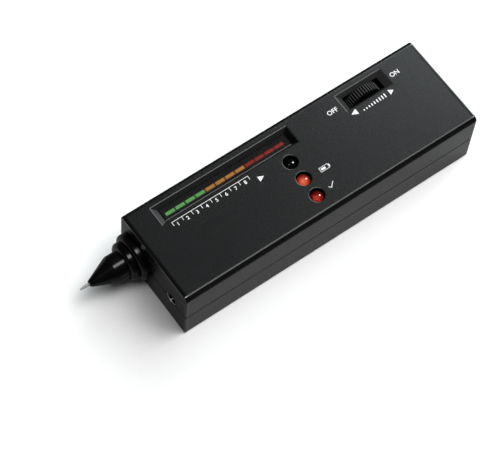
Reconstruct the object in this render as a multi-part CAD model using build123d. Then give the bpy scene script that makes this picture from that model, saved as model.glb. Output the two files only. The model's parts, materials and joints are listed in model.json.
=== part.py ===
from build123d import *
from math import pi, sqrt
import os

# Hand-held thermal diamond tester, in millimetres.
# The origin is the centre of the flat underside of the case.
# +X runs to the rear, so the probe points along -X. +Z is up, and -Y is the near long side.
# The case is built up around the battery, the thumbwheel and the row of light segments,
# so its length and width follow from them.

# Case shells
shell_wall = 1.8
parting_height = 11.7
long_edge_radius = 1.9
end_edge_radius = 0.5
bottom_edge_radius = 0.8
cavity_radius = 0.6
seam_chamfer = 0.25
lip_thickness = 0.8
lip_height = 1.4
lip_clearance = 0.1
rib_thickness = 1.0
rim_slope_width = 0.28
rim_slope_depth = 0.07
cut_overrun = 5.0
seat_gap = 0.1

# Battery, its snap terminals and the contact plate in front of it
battery_length = 46.4
battery_width = 26.5
battery_thickness = 17.5
battery_corner_radius = 2.2
battery_end_gap = 0.5
battery_side_gap = 0.1
battery_top_gap = 0.2
battery_headroom = 3.9
battery_rib_count = 3
terminal_height = 2.1
terminal_spacing = 12.7
stud_radius = 2.9
crown_radius = 4.2
crown_bore_radius = 3.0
contact_radius = 2.4
contact_height = 0.8
contact_plate_thickness = 1.5
contact_plate_top = 17.6
contact_plate_gap = 2.26

# Battery cover, which slides rearwards in two grooves
cover_thickness = 1.5
cover_gap = 0.1
tongue_reach = 0.7
tongue_thickness = 0.65
tongue_height = 0.85
grip_count = 6
grip_pitch = 1.8
grip_width = 0.8
grip_depth = 0.35
grip_length = 14.0
grip_setback = 4.0
arrow_length = 5.0
arrow_width = 8.0
arrow_gap = 4.0

# Thumbwheel, potentiometer and shaft
wheel_radius = 6.8
wheel_width = 3.35
wheel_stand = 0.87
wheel_from_rear = 25.3
wheel_battery_gap = 0.42
wheel_pot_gap = 0.28
wheel_rib_count = 42
wheel_rib_depth = 0.45
wheel_rib_root_share = 0.62
wheel_rib_tip_share = 0.34
hub_recess_radius = 4.6
hub_recess_depth = 0.5
hub_radius = 2.6
pot_thickness = 3.0
pot_wall_gap = 0.25
pot_radius = 3.9
pot_base_drop = 6.4
pot_base_width = 7.6
shaft_radius = 1.5
shaft_flat = 0.35
shaft_depth = 1.8
running_clearance = 0.05
fixed_clearance = 0.02
pot_pin_count = 3
pot_pin_pitch = 2.5
pot_pin_width = 0.8
pot_pin_thickness = 0.4
wheel_end_gap = 2.1
wheel_side_gap = 0.72
end_bevel = 2.1
side_bevel = 1.2
skirt_thickness = 0.9
skirt_bottom = 13.0

# Window, lens, light segments and their holder
segments_per_colour = 4
colour_count = 3
segment_pitch = 4.02
segment_length = 3.6
segment_width = 1.5
segment_height = 5.3
segment_stand = 0.3
segment_clearance = 0.03
window_from_front = 9.4
window_margin = 1.4
window_inner_width = 4.9
lens_thickness = 1.2
lens_ledge = 0.9
lens_air = 0.1
lens_clearance = 0.04
lens_pad_height = 0.3
lens_rim_width = 0.2
lens_rim_depth = 0.06
lens_rib_height = 1.0
holder_margin = 0.7
holder_width = 4.3

# Lamps
lamp_radius = 2.5
lamp_flange_radius = 2.9
lamp_flange_height = 1.0
lamp_hole_radius = 2.7
lamp_sink_width = 0.38
lamp_sink_depth = 0.22
lamp_recess = 0.2
lamp_row_shares = (0.269, 0.513, 0.757)
lamp_from_window_end = 6.9

# Circuit boards and what stands on them
board_thickness = 1.6
board_gap = 0.5
board_spacing = 5.2
tongue_gap = 0.3
board_hole_clearance = 0.6
tongue_past_wheel = 7.0
partition_thickness = 0.8
chip_length = 19.0
chip_width = 6.4
chip_height = 3.3
chip_stand = 0.5
chip_pin_count = 7
chip_pin_pitch = 2.54
chip_pin_width = 0.5
chip_pin_thickness = 0.3
chip_pin_spread = 0.6
chip_place_shares = ((0.42, 0.32), (0.42, 0.62))
resistor_radius = 0.9
resistor_length = 3.6
resistor_waist_radius = 0.75
resistor_lead_width = 0.5
resistor_lead_length = 1.3
resistor_count = 5
resistor_pitch = 2.6
resistor_place_share = (0.66, 0.4)
capacitor_radius = 2.0
capacitor_top_gap = 0.8
capacitor_groove = 0.2
capacitor_groove_height = 0.9
capacitor_place_shares = ((0.72, 0.2), (0.8, 0.2), (0.8, 0.36))
buzzer_radius = 6.0
buzzer_floor_gap = 0.8
buzzer_chamfer = 0.2
buzzer_hole_radius = 1.0
buzzer_hole_depth = 0.8
buzzer_place_share = (0.62, 0.36)
header_pin_count = 6
header_pitch = 2.54
header_width = 2.5
header_height = 2.5
header_pin_side = 0.64
header_place_share = (0.87, 0.62)

# Power socket
jack_from_near = 8.3
jack_body_width = 6.6
jack_body_height = 5.6
jack_body_length = 12.0
jack_bore_radius = 2.05
jack_bore_length = 13.0
jack_mouth_radius = 2.45
jack_mouth_depth = 1.1
sleeve_radius = 2.8
sleeve_length = 3.4
sleeve_clearance = 0.1
jack_pin_width = 1.2
jack_pin_thickness = 0.3
jack_pin_shares = (0.3, 0.8)

# Probe
probe_from_far = 9.4
collar_radius = 8.6
collar_length = 3.1
nose_bead_radius = 7.05
nose_bead_length = 2.8
bead_front_round = 1.6
bead_rear_round = 0.5
barrel_radius = 5.0
barrel_length = 4.0
cone_length = 8.85
cone_tip_radius = 1.1
barrel_edge_round = 0.3
spigot_radius = 4.5
spigot_length = 4.4
nose_spigot_radius = 3.2
nose_spigot_length = 3.6
nose_spigot_gap = 0.4
nut_across_flats = 10.6
nut_thickness = 2.2
tube_radius = 1.9
tube_wall = 0.35
tube_rear = 12.0
nose_stop_depth = 4.75
stop_gap = 0.1
pin_radius = 0.47
pin_tip_radius = 0.2
pin_stand = 3.65
pin_taper_length = 1.6
pin_clearance = 0.08
pin_shoulder_radius = 1.42
pin_shoulder_length = 1.0
heater_radius = 1.36
heater_length = 4.0
heater_waist = 0.25
spring_coil_radius = 1.1
spring_wire_radius = 0.18
spring_wire_sides = 6
spring_turns = 9
spring_length = 13.0
plug_length = 2.4
saddle_from_front = 8.6
saddle_width = 7.0
saddle_thickness = 1.2

# Screws
boss_radius = 2.7
shell_screw_radius = 1.2
shell_screw_head_radius = 2.2
shell_screw_head_height = 1.5
shell_screw_grip = 11.5
shell_screw_seat = 4.5
screw_hole_clearance = 0.2
front_boss_setback = 7.0
front_boss_from_near = 17.5
middle_boss_setback = 3.7
middle_boss_gap = 0.1
rear_boss_setback = 8.0
rear_boss_gap = 0.6
board_screw_radius = 0.9
board_screw_head_radius = 1.7
board_screw_head_height = 1.0
board_screw_length = 5.0
board_post_radius = 2.1
slot_width = 0.5
slot_depth = 0.6
display_screw_shares = ((0.12, 0.55), (0.64, 0.55), (0.42, 0.15))
main_screw_shares = ((0.21, 0.45), (0.9, 0.3), (0.4, 0.9))
lane_screw_share = 0.45

# What follows from the sizes above
segment_count = segments_per_colour * colour_count
window_inner_length = segment_count * segment_pitch + 2 * window_margin
window_length = window_inner_length + 2 * end_bevel
window_end_from_front = window_from_front + window_length
plate_from_front = window_end_from_front + contact_plate_gap
case_length = (plate_from_front + contact_plate_thickness + contact_height + terminal_height
               + battery_length + battery_end_gap + shell_wall)
case_height = (cover_thickness + cover_gap + battery_top_gap + battery_thickness
               + battery_headroom + shell_wall)
case_width = (2 * shell_wall + battery_side_gap + battery_width + wheel_battery_gap + wheel_width
              + wheel_pot_gap + pot_thickness + pot_wall_gap)
front = -case_length / 2
rear = case_length / 2
near = -case_width / 2
far = case_width / 2
inner_front = front + shell_wall
inner_rear = rear - shell_wall
inner_near = near + shell_wall
inner_far = far - shell_wall
ceiling = case_height - shell_wall

battery_near = inner_near + battery_side_gap
battery_far = battery_near + battery_width
battery_bottom = cover_thickness + cover_gap + battery_top_gap
battery_top = battery_bottom + battery_thickness
battery_middle_y = (battery_near + battery_far) / 2
battery_middle_z = (battery_bottom + battery_top) / 2
plate_front = front + plate_from_front
plate_rear = plate_front + contact_plate_thickness
battery_front = plate_rear + contact_height + terminal_height
partition_near = battery_far + battery_side_gap
partition_far = partition_near + partition_thickness

control_line = battery_far + wheel_battery_gap + wheel_width / 2
wheel_x = rear - wheel_from_rear
wheel_z = case_height + wheel_stand - wheel_radius
wheel_near = control_line - wheel_width / 2
wheel_far = control_line + wheel_width / 2
pot_near = wheel_far + wheel_pot_gap
pot_far = pot_near + pot_thickness
pot_bottom = wheel_z - pot_base_drop
well_inner_length = 2 * (sqrt(wheel_radius ** 2 - (ceiling - wheel_z) ** 2) + wheel_end_gap)
well_inner_width = wheel_width + 2 * wheel_side_gap

window_x = front + window_from_front + window_length / 2
lens_length = window_inner_length + 2 * lens_ledge
lens_width = window_inner_width + 2 * lens_ledge
segment_top = ceiling - lens_thickness - lens_air
display_top = segment_top - segment_height
display_bottom = display_top - board_thickness
display_front = window_x - segment_count * segment_pitch / 2 - holder_margin - board_gap
display_rear = plate_front - rib_thickness - board_gap
lamp_x = front + window_end_from_front - lamp_from_window_end
lamp_row = [control_line + share * (near - control_line) for share in lamp_row_shares]
lamp_height = case_height - lamp_recess - display_top

main_top = display_bottom - board_spacing
main_bottom = main_top - board_thickness
jack_y = near + jack_from_near
jack_axis_height = main_top + jack_body_height / 2
capacitor_height = board_spacing - capacitor_top_gap
buzzer_height = main_bottom - shell_wall - buzzer_floor_gap
main_front = inner_front + board_gap
board_near = inner_near + board_gap
board_far = inner_far - board_gap

probe_y = far - probe_from_far
probe_z = parting_height
tube_bore_radius = tube_radius - tube_wall
nose_rear = front - collar_length
barrel_rear = nose_rear - nose_bead_length
cone_rear = barrel_rear - barrel_length
nose_front = cone_rear - cone_length
stop_x = nose_front + nose_stop_depth
pin_tip = nose_front - pin_stand
shoulder_rear = stop_x + pin_shoulder_length
heater_rear = shoulder_rear + heater_length
spring_rear = heater_rear + spring_length

middle_boss_y = inner_near + boss_radius + middle_boss_gap
rear_boss_y = inner_far - boss_radius - rear_boss_gap
shell_screw_places = [
    (front + front_boss_setback, near + front_boss_from_near),
    (plate_front - middle_boss_setback, middle_boss_y),
    (rear - rear_boss_setback, rear_boss_y),
]


def slab(x0, x1, y0, y1, z0, z1):
    """A block between two opposite corners."""
    middle = Pos((x0 + x1) / 2, (y0 + y1) / 2, (z0 + z1) / 2)
    return middle * Box(x1 - x0, y1 - y0, z1 - z0)


def post(x, y, z0, z1, radius):
    """An upright cylinder."""
    return Pos(x, y, (z0 + z1) / 2) * Cylinder(radius, z1 - z0)


def rod_x(y, z, x0, x1, radius):
    """A cylinder along X."""
    return Pos((x0 + x1) / 2, y, z) * Rot(0, 90, 0) * Cylinder(radius, x1 - x0)


def rod_y(x, z, y0, y1, radius):
    """A cylinder along Y."""
    return Pos(x, (y0 + y1) / 2, z) * Rot(90, 0, 0) * Cylinder(radius, y1 - y0)


def turned_x(y, z, points):
    """A closed outline of (x, radius) points, turned about an axis along X."""
    outline = make_face(Polyline(*points, close=True))
    return Pos(0, y, z) * revolve(outline, Axis.X, 360)


def on_probe(points):
    """A turned piece on the probe's axis."""
    return turned_x(probe_y, probe_z, points)


def turned_z(x, y, points):
    """A closed outline of (radius, z) points, turned about an upright axis."""
    outline = make_face(Plane.XZ * Polyline(*points, close=True))
    return Pos(x, y, 0) * revolve(outline, Axis.Z, 360)


def group(solids):
    """Separate solids that share one node."""
    return Compound(children=list(solids))


def place_on(x0, x1, y0, y1, shares):
    """A place inside a rectangle, given as shares of its two sides."""
    return x0 + shares[0] * (x1 - x0), y0 + shares[1] * (y1 - y0)


def case_block():
    """The outside of the closed case: a rounded section run along X, with its ends eased."""
    section = Plane.YZ * Rectangle(case_width, case_height)
    block = Pos(front, 0, case_height / 2) * extrude(section, case_length)
    high_edges = block.edges().filter_by(Axis.X).group_by(Axis.Z)[-1]
    block = fillet(high_edges, long_edge_radius)
    low_edges = block.edges().filter_by(Axis.X).group_by(Axis.Z)[0]
    block = fillet(low_edges, bottom_edge_radius)
    ends = block.faces().filter_by(Axis.X)
    return fillet(ends.edges(), end_edge_radius)


def cavity_section(grow):
    """The inside outline of the case seen from above, grown outwards."""
    wide = case_length - 2 * shell_wall + 2 * grow
    deep = case_width - 2 * shell_wall + 2 * grow
    return RectangleRounded(wide, deep, cavity_radius + grow)


def cavity(z0, z1, grow=0):
    """The space inside the case between two heights."""
    return Pos(0, 0, z0) * extrude(cavity_section(grow), z1 - z0)


def half_case(z0, z1, seam_face):
    """Half of the closed case, with the outer edge of its seam eased."""
    half = case_block() & slab(front - cut_overrun, rear + cut_overrun, near - cut_overrun,
                               far + cut_overrun, z0, z1)
    return chamfer(half.faces().sort_by(Axis.Z)[seam_face].edges(), seam_chamfer)


def probe_passage():
    """The hole for the probe's spigot, which the two shells share."""
    return rod_x(probe_y, probe_z, front - cut_overrun, inner_front + seat_gap,
                 spigot_radius + seat_gap)


def jack_passage():
    """The hole for the socket's sleeve, which the two shells share."""
    return rod_x(jack_y, jack_axis_height, front - cut_overrun, inner_front + seat_gap,
                 sleeve_radius + sleeve_clearance)


def tube_saddle(z0, z1):
    """A rib across the probe that holds half of its guide tube."""
    x0 = front + saddle_from_front
    rib = slab(x0, x0 + saddle_thickness, probe_y - saddle_width / 2,
               probe_y + saddle_width / 2, z0, z1)
    return rib - rod_x(probe_y, probe_z, front, front + tube_rear + cut_overrun,
                       tube_radius + fixed_clearance)


def bevelled_opening(x, y, inner_length, inner_width):
    """A hole through the top whose four walls slope outwards, with a shallow slope at its rim."""
    outer = Pos(x, y, case_height) * Rectangle(inner_length + 2 * end_bevel,
                                               inner_width + 2 * side_bevel)
    inner = Pos(x, y, ceiling) * Rectangle(inner_length, inner_width)
    rim = Pos(x, y, case_height + rim_slope_depth) * Rectangle(
        inner_length + 2 * end_bevel + 4 * rim_slope_width,
        inner_width + 2 * side_bevel + 4 * rim_slope_width)
    eased = Pos(x, y, case_height - rim_slope_depth) * Rectangle(
        inner_length + 2 * end_bevel, inner_width + 2 * side_bevel)
    slope = loft([inner, outer])
    edge = loft([eased, rim])
    through = Pos(x, y, ceiling - cut_overrun) * extrude(Rectangle(inner_length, inner_width),
                                                         cut_overrun)
    return slope + edge + through


def lamp_opening(y):
    """A countersunk hole for a lamp, with the same shallow slope at its rim."""
    bottom = ceiling - seam_chamfer
    edge = case_height - rim_slope_depth
    top = case_height + rim_slope_depth
    sunk_radius = lamp_hole_radius + lamp_sink_width
    return turned_z(lamp_x, y, [(0, bottom), (lamp_hole_radius, bottom),
                                (lamp_hole_radius, edge - lamp_sink_depth), (sunk_radius, edge),
                                (sunk_radius + 2 * rim_slope_width, top), (0, top)])


def shell_boss(x, y):
    """A boss of the top shell with a blind hole for a self-tapping screw."""
    boss = post(x, y, parting_height, ceiling + seam_chamfer, boss_radius)
    hole_top = shell_screw_seat + shell_screw_grip + screw_hole_clearance
    return boss - post(x, y, 0, hole_top, shell_screw_radius + fixed_clearance)


def display_post(x, y):
    """A post under the ceiling that carries the display board."""
    hole_top = display_bottom + board_screw_length + screw_hole_clearance
    body = post(x, y, display_top, ceiling + seam_chamfer, board_post_radius)
    return body - post(x, y, display_top - cut_overrun, hole_top,
                       board_screw_radius + fixed_clearance)


def display_screw_places():
    """Where the screws of the display board stand."""
    return [place_on(display_front, display_rear, board_near, board_far, s)
            for s in display_screw_shares]


def main_screw_places():
    """Where the screws of the main board stand; the last one holds the tongue under the wheel."""
    places = [place_on(main_front, display_rear, board_near, board_far, s)
              for s in main_screw_shares]
    lane_x = plate_rear + lane_screw_share * (wheel_x - plate_rear)
    places.append((lane_x, (partition_far + inner_far) / 2))
    return places


def wheel_skirt():
    """Walls under the wheel well that close it off from the battery and the boards."""
    half_x = well_inner_length / 2
    half_y = well_inner_width / 2
    top = ceiling + seam_chamfer
    near_wall = slab(wheel_x - half_x, wheel_x + half_x, control_line - half_y - skirt_thickness,
                     control_line - half_y, battery_top + battery_top_gap, top)
    skirt = near_wall
    for side in (-1, 1):
        x0 = wheel_x + side * half_x
        x1 = x0 + side * skirt_thickness
        upper = slab(min(x0, x1), max(x0, x1), control_line - half_y - skirt_thickness,
                     inner_far + seam_chamfer, battery_top + battery_top_gap, top)
        lower = slab(min(x0, x1), max(x0, x1), battery_far + battery_top_gap,
                     inner_far + seam_chamfer, skirt_bottom, top)
        skirt = skirt + upper + lower
    return skirt


def lens_frame():
    """A low rib round the lens that locates it under the ceiling."""
    z0 = ceiling - lens_rib_height
    outer = Rectangle(lens_length + 2 * (rib_thickness + seat_gap),
                      lens_width + 2 * (rib_thickness + seat_gap))
    inner = Rectangle(lens_length + 2 * seat_gap, lens_width + 2 * seat_gap)
    return Pos(window_x, control_line, z0) * extrude(outer - inner,
                                                     lens_rib_height + seam_chamfer)


def battery_ribs():
    """Ribs across the ceiling, evenly spaced, that hold the battery down."""
    ribs = []
    y1 = control_line - well_inner_width / 2 - skirt_thickness
    for i in range(battery_rib_count):
        x = battery_front + battery_length * (i + 1) / (battery_rib_count + 1)
        ribs.append(slab(x - rib_thickness / 2, x + rib_thickness / 2, inner_near - seam_chamfer,
                         y1, battery_top + battery_top_gap, ceiling + seam_chamfer))
    return ribs


def top_shell():
    """The upper half: lip, bosses, ribs, the two bevelled openings and the lamp holes."""
    shell = half_case(parting_height, case_height + cut_overrun, 0)
    shell -= cavity(parting_height - cut_overrun, ceiling)
    lip = cavity(parting_height - lip_height, parting_height + seam_chamfer, lip_thickness)
    lip -= cavity(parting_height - cut_overrun, parting_height + cut_overrun)
    shell += lip
    for x, y in shell_screw_places:
        shell += shell_boss(x, y)
    for x, y in display_screw_places():
        shell += display_post(x, y)
    shell += wheel_skirt()
    shell += lens_frame()
    for rib in battery_ribs():
        shell += rib
    shell += tube_saddle(probe_z, ceiling + seam_chamfer)
    shell -= bevelled_opening(window_x, control_line, window_inner_length, window_inner_width)
    shell -= bevelled_opening(wheel_x, control_line, well_inner_length, well_inner_width)
    for y in lamp_row:
        shell -= lamp_opening(y)
    shell -= probe_passage()
    shell -= jack_passage()
    return shell


def cover_opening():
    """The battery opening in the floor, with a groove along each side for the cover."""
    x0 = plate_rear + contact_height - cover_gap
    x1 = rear + cut_overrun
    top = cover_thickness + cover_gap
    opening = slab(x0, x1, inner_near, partition_near, -cut_overrun, top)
    bay = slab(x0, inner_rear, inner_near, partition_near, 0, top + shell_wall)
    groove_bottom = tongue_height - cover_gap
    groove_top = tongue_height + tongue_thickness + cover_gap
    groove = slab(x0, x1, inner_near - tongue_reach - cover_gap,
                  partition_near + tongue_reach + cover_gap, groove_bottom, groove_top)
    return opening + bay + groove


def floor_boss(x, y):
    """A boss of the bottom shell, before it is drilled for a shell screw."""
    return post(x, y, shell_wall / 2, parting_height, boss_radius)


def floor_post(x, y):
    """A post on the floor that carries the main board."""
    body = post(x, y, shell_wall / 2, main_bottom, board_post_radius)
    hole_bottom = main_top - board_screw_length - screw_hole_clearance
    return body - post(x, y, hole_bottom, main_bottom + cut_overrun,
                       board_screw_radius + fixed_clearance)


def plate_guides():
    """Two grooved blocks that hold the contact plate upright."""
    guides = []
    x0 = plate_front - rib_thickness
    x1 = plate_rear + contact_height / 2
    for y0, y1 in ((inner_near - seam_chamfer, battery_near + rib_thickness),
                   (partition_near - rib_thickness, partition_far)):
        guide = slab(x0, x1, y0, y1, shell_wall / 2, parting_height - lip_height - lip_clearance)
        guides.append(guide)
    return guides


def contact_plate_block(gap):
    """The contact plate's block, or its slot in the guides when a gap is added."""
    return slab(plate_front - gap, plate_rear + gap, battery_near - gap,
                battery_far + gap, shell_wall, contact_plate_top)


def bottom_shell():
    """The lower half: bosses, plate guides, partition, saddle and the battery opening."""
    shell = half_case(-cut_overrun, parting_height, -1)
    shell -= cavity(shell_wall, parting_height + cut_overrun)
    shell -= cavity(parting_height - lip_height - lip_clearance, parting_height + cut_overrun,
                    lip_thickness + lip_clearance)
    for x, y in shell_screw_places:
        shell += floor_boss(x, y)
    for x, y in main_screw_places():
        shell += floor_post(x, y)
    for guide in plate_guides():
        shell += guide
    shell += slab(plate_front, inner_rear + seam_chamfer, partition_near, partition_far,
                  shell_wall / 2, parting_height - lip_height - lip_clearance)
    shell += tube_saddle(shell_wall / 2, probe_z)
    shell -= contact_plate_block(seat_gap)
    shell -= cover_opening()
    for x, y in shell_screw_places:
        shell -= post(x, y, -cut_overrun, shell_screw_seat,
                      shell_screw_head_radius + screw_hole_clearance)
        shell -= post(x, y, -cut_overrun, parting_height + cut_overrun,
                      shell_screw_radius + screw_hole_clearance)
    shell -= probe_passage()
    shell -= jack_passage()
    return shell


def battery_cover():
    """The sliding cover: a plate with a tongue along each side, grip ridges and an arrow."""
    x0 = plate_rear + contact_height
    y0 = inner_near + cover_gap
    y1 = partition_near - cover_gap
    plate = slab(x0, rear, y0, y1, 0, cover_thickness)
    end_edge = plate.edges().filter_by(Axis.Y).sort_by(Axis.Z)[0:2].sort_by(Axis.X)[-1]
    plate = fillet(end_edge, end_edge_radius)
    plate += slab(x0, rear - end_edge_radius, y0 - tongue_reach, y1 + tongue_reach,
                  tongue_height, tongue_height + tongue_thickness)
    middle = (y0 + y1) / 2
    for i in range(grip_count):
        x = rear - grip_setback - i * grip_pitch
        plate -= slab(x - grip_width / 2, x + grip_width / 2, middle - grip_length / 2,
                      middle + grip_length / 2, -cut_overrun, grip_depth)
    tip = rear - grip_setback - grip_count * grip_pitch - arrow_gap
    outline = Polyline((tip, middle), (tip - arrow_length, middle + arrow_width / 2),
                       (tip - arrow_length, middle - arrow_width / 2), close=True)
    plate -= Pos(0, 0, -cut_overrun) * extrude(make_face(outline), cut_overrun + grip_depth)
    return plate


def display_lens():
    """The smoked plate under the window, with a pad that stands up into it."""
    plate = slab(window_x - lens_length / 2, window_x + lens_length / 2,
                 control_line - lens_width / 2, control_line + lens_width / 2,
                 ceiling - lens_thickness, ceiling)
    foot = Pos(window_x, control_line, ceiling - seam_chamfer) * Rectangle(
        window_inner_length - 2 * lens_clearance, window_inner_width - 2 * lens_clearance)
    pad = extrude(foot, seam_chamfer + lens_pad_height)
    rim = pad.faces().sort_by(Axis.Z)[-1].edges()
    return plate + chamfer(rim, lens_rim_depth, lens_rim_width)


def segment_x(index):
    """The middle of one light segment, counted from the probe's end."""
    return window_x + (index - (segment_count - 1) / 2) * segment_pitch


def segment_block(index, gap, z0, z1):
    """One light segment, or its pocket when a gap is added."""
    x = segment_x(index)
    return slab(x - segment_length / 2 - gap, x + segment_length / 2 + gap,
                control_line - segment_width / 2 - gap, control_line + segment_width / 2 + gap,
                z0, z1)


def light_segments(colour_index):
    """The light segments of one colour, which fill the holder's pockets."""
    first = colour_index * segments_per_colour
    return group(segment_block(first + i, 0, display_top, segment_top)
                 for i in range(segments_per_colour))


def segment_holder():
    """A strip with one pocket for each light segment, open above and below."""
    half = segment_count * segment_pitch / 2 + holder_margin
    strip = slab(window_x - half, window_x + half, control_line - holder_width / 2,
                 control_line + holder_width / 2, display_top, segment_top - segment_stand)
    for i in range(segment_count):
        strip -= segment_block(i, segment_clearance, display_top - cut_overrun,
                               segment_top + cut_overrun)
    return strip


def lamp(index):
    """A round lamp: a flange on the board, a straight body and a domed end."""
    y = lamp_row[index]
    flange = post(lamp_x, y, display_top, display_top + lamp_flange_height, lamp_flange_radius)
    dome_middle = display_top + lamp_height - lamp_radius
    body = post(lamp_x, y, display_top, dome_middle, lamp_radius)
    dome = Pos(lamp_x, y, dome_middle) * Sphere(lamp_radius)
    return flange + body + dome


def board_screw_hole(x, y):
    return post(x, y, 0, case_height, board_screw_radius + screw_hole_clearance)


def boss_clearance(place):
    return post(place[0], place[1], 0, case_height, boss_radius + board_hole_clearance)


def display_board():
    """The upper board, cut back round the power socket and one boss."""
    board = slab(display_front, display_rear, board_near, board_far, display_bottom, display_top)
    board -= slab(display_front - cut_overrun, inner_front + jack_body_length + 2 * board_gap,
                  board_near - cut_overrun, jack_y + jack_body_width / 2 + board_gap,
                  0, case_height)
    board -= boss_clearance(shell_screw_places[1])
    for x, y in display_screw_places():
        board -= board_screw_hole(x, y)
    return board


def main_board():
    """The lower board, with a tongue beside the battery that reaches under the wheel."""
    board = slab(main_front, display_rear, board_near, board_far, main_bottom, main_top)
    board += slab(display_rear - board_gap, wheel_x + tongue_past_wheel,
                  partition_far + tongue_gap, board_far, main_bottom, main_top)
    board -= slab(main_front - cut_overrun, front + tube_rear + 2 * board_gap,
                  probe_y - saddle_width, board_far + cut_overrun, 0, case_height)
    board -= boss_clearance(shell_screw_places[0])
    board -= boss_clearance(shell_screw_places[1])
    for x, y in main_screw_places():
        board -= board_screw_hole(x, y)
    return board


def on_main_board(shares):
    return place_on(main_front, display_rear, board_near, board_far, shares)


def driver_chip(x, y):
    """A chip with a row of bent legs along each side."""
    z0 = main_top + chip_stand
    body = slab(x - chip_length / 2, x + chip_length / 2, y - chip_width / 2, y + chip_width / 2,
                z0, z0 + chip_height)
    leg_z = z0 + chip_height / 2
    for i in range(chip_pin_count):
        leg_x = x + (i - (chip_pin_count - 1) / 2) * chip_pin_pitch
        for side in (-1, 1):
            edge = y + side * chip_width / 2
            out = edge + side * (chip_pin_spread + chip_pin_thickness)
            inward = edge - side * chip_pin_thickness
            foot = out - side * chip_pin_thickness
            body += slab(leg_x - chip_pin_width / 2, leg_x + chip_pin_width / 2,
                         min(inward, out), max(inward, out), leg_z, leg_z + chip_pin_thickness)
            body += slab(leg_x - chip_pin_width / 2, leg_x + chip_pin_width / 2,
                         min(foot, out), max(foot, out), main_top, leg_z + chip_pin_thickness)
    return body


def driver_chips():
    return group(driver_chip(*on_main_board(s)) for s in chip_place_shares)


def resistor(x, y):
    """A resistor that lies on the board: a waisted body between two bent leads."""
    z = main_top + resistor_radius
    half = resistor_length / 2
    cap = half - resistor_radius
    body = turned_x(y, z, [(x - half, 0), (x - half, resistor_radius), (x - cap, resistor_radius),
                           (x - cap, resistor_waist_radius), (x + cap, resistor_waist_radius),
                           (x + cap, resistor_radius), (x + half, resistor_radius),
                           (x + half, 0)])
    for side in (-1, 1):
        inner_x = x + side * cap
        lead_x = x + side * (half + resistor_lead_length)
        foot_x = lead_x - side * resistor_lead_width
        body += slab(min(inner_x, lead_x), max(inner_x, lead_x), y - resistor_lead_width / 2,
                     y + resistor_lead_width / 2, z, z + resistor_lead_width)
        body += slab(min(foot_x, lead_x), max(foot_x, lead_x), y - resistor_lead_width / 2,
                     y + resistor_lead_width / 2, main_top, z + resistor_lead_width)
    return body


def resistors():
    """A row of resistors side by side."""
    x, y0 = on_main_board(resistor_place_share)
    return group(resistor(x, y0 + i * resistor_pitch) for i in range(resistor_count))


def capacitor(x, y):
    """A small can with a rolled groove above its foot."""
    groove_z = main_top + capacitor_groove_height
    outline = [(0, main_top), (capacitor_radius, main_top),
               (capacitor_radius, groove_z),
               (capacitor_radius - capacitor_groove, groove_z + capacitor_groove),
               (capacitor_radius, groove_z + 2 * capacitor_groove),
               (capacitor_radius, main_top + capacitor_height),
               (0, main_top + capacitor_height)]
    return turned_z(x, y, outline)


def capacitors():
    return group(capacitor(*on_main_board(s)) for s in capacitor_place_shares)


def buzzer():
    """A round sounder hung under the main board, with its sound hole facing down."""
    x, y = on_main_board(buzzer_place_share)
    z0 = main_bottom - buzzer_height
    can = post(x, y, z0, main_bottom, buzzer_radius)
    can = chamfer(can.faces().sort_by(Axis.Z)[0].edges(), buzzer_chamfer)
    return can - post(x, y, z0 - cut_overrun, z0 + buzzer_hole_depth, buzzer_hole_radius)


def header_places():
    x, y = on_main_board(header_place_share)
    return [(x, y + (i - (header_pin_count - 1) / 2) * header_pitch)
            for i in range(header_pin_count)]


def header_strip():
    """The moulded strip that the header pins pass through."""
    places = header_places()
    y0 = places[0][1] - header_pitch / 2
    y1 = places[-1][1] + header_pitch / 2
    x = places[0][0]
    strip = slab(x - header_width / 2, x + header_width / 2, y0, y1, main_top,
                 main_top + header_height)
    half = header_pin_side / 2 + fixed_clearance
    for pin_x, pin_y in places:
        strip -= slab(pin_x - half, pin_x + half, pin_y - half, pin_y + half,
                      main_top - cut_overrun, main_top + header_height + cut_overrun)
    return strip


def header_pins():
    """Square pins from the lower board to the upper one."""
    half = header_pin_side / 2
    return group(slab(x - half, x + half, y - half, y + half, main_top, display_bottom)
                 for x, y in header_places())


def volume_wheel():
    """A thumbwheel with ribs all round its rim and a sunk face round its hub."""
    root = wheel_radius - wheel_rib_depth
    pitch = 2 * pi * wheel_radius / wheel_rib_count
    root_half = pitch * wheel_rib_root_share / 2
    tip_half = pitch * wheel_rib_tip_share / 2
    rib = make_face(Polyline((root - wheel_rib_depth, -root_half), (root, -root_half),
                             (wheel_radius, -tip_half), (wheel_radius, tip_half),
                             (root, root_half), (root - wheel_rib_depth, root_half), close=True))
    section = Circle(root)
    for i in range(wheel_rib_count):
        section += Rot(0, 0, 360 * i / wheel_rib_count) * rib
    wheel = extrude(section, wheel_width)
    sunk = Circle(hub_recess_radius) - Circle(hub_radius)
    wheel -= extrude(sunk, hub_recess_depth)
    wheel -= Pos(0, 0, wheel_width - hub_recess_depth) * extrude(sunk, hub_recess_depth)
    bore = extrude(shaft_section(fixed_clearance), shaft_depth + cut_overrun)
    wheel -= Pos(0, 0, wheel_width - shaft_depth) * bore
    return along_shaft(wheel_near, wheel)


def shaft_section(gap):
    """The shaft's D-shaped end, seen along its axis."""
    radius = shaft_radius + gap
    flat_x = shaft_radius - shaft_flat + gap
    cut = Pos(flat_x + radius, 0) * Rectangle(2 * radius, 4 * radius)
    return Circle(radius) - cut


def along_shaft(y, solid):
    """Turns a solid drawn along Z so that it runs along +Y from the given y."""
    return Pos(wheel_x, y, wheel_z) * Rot(-90, 0, 0) * solid


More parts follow.
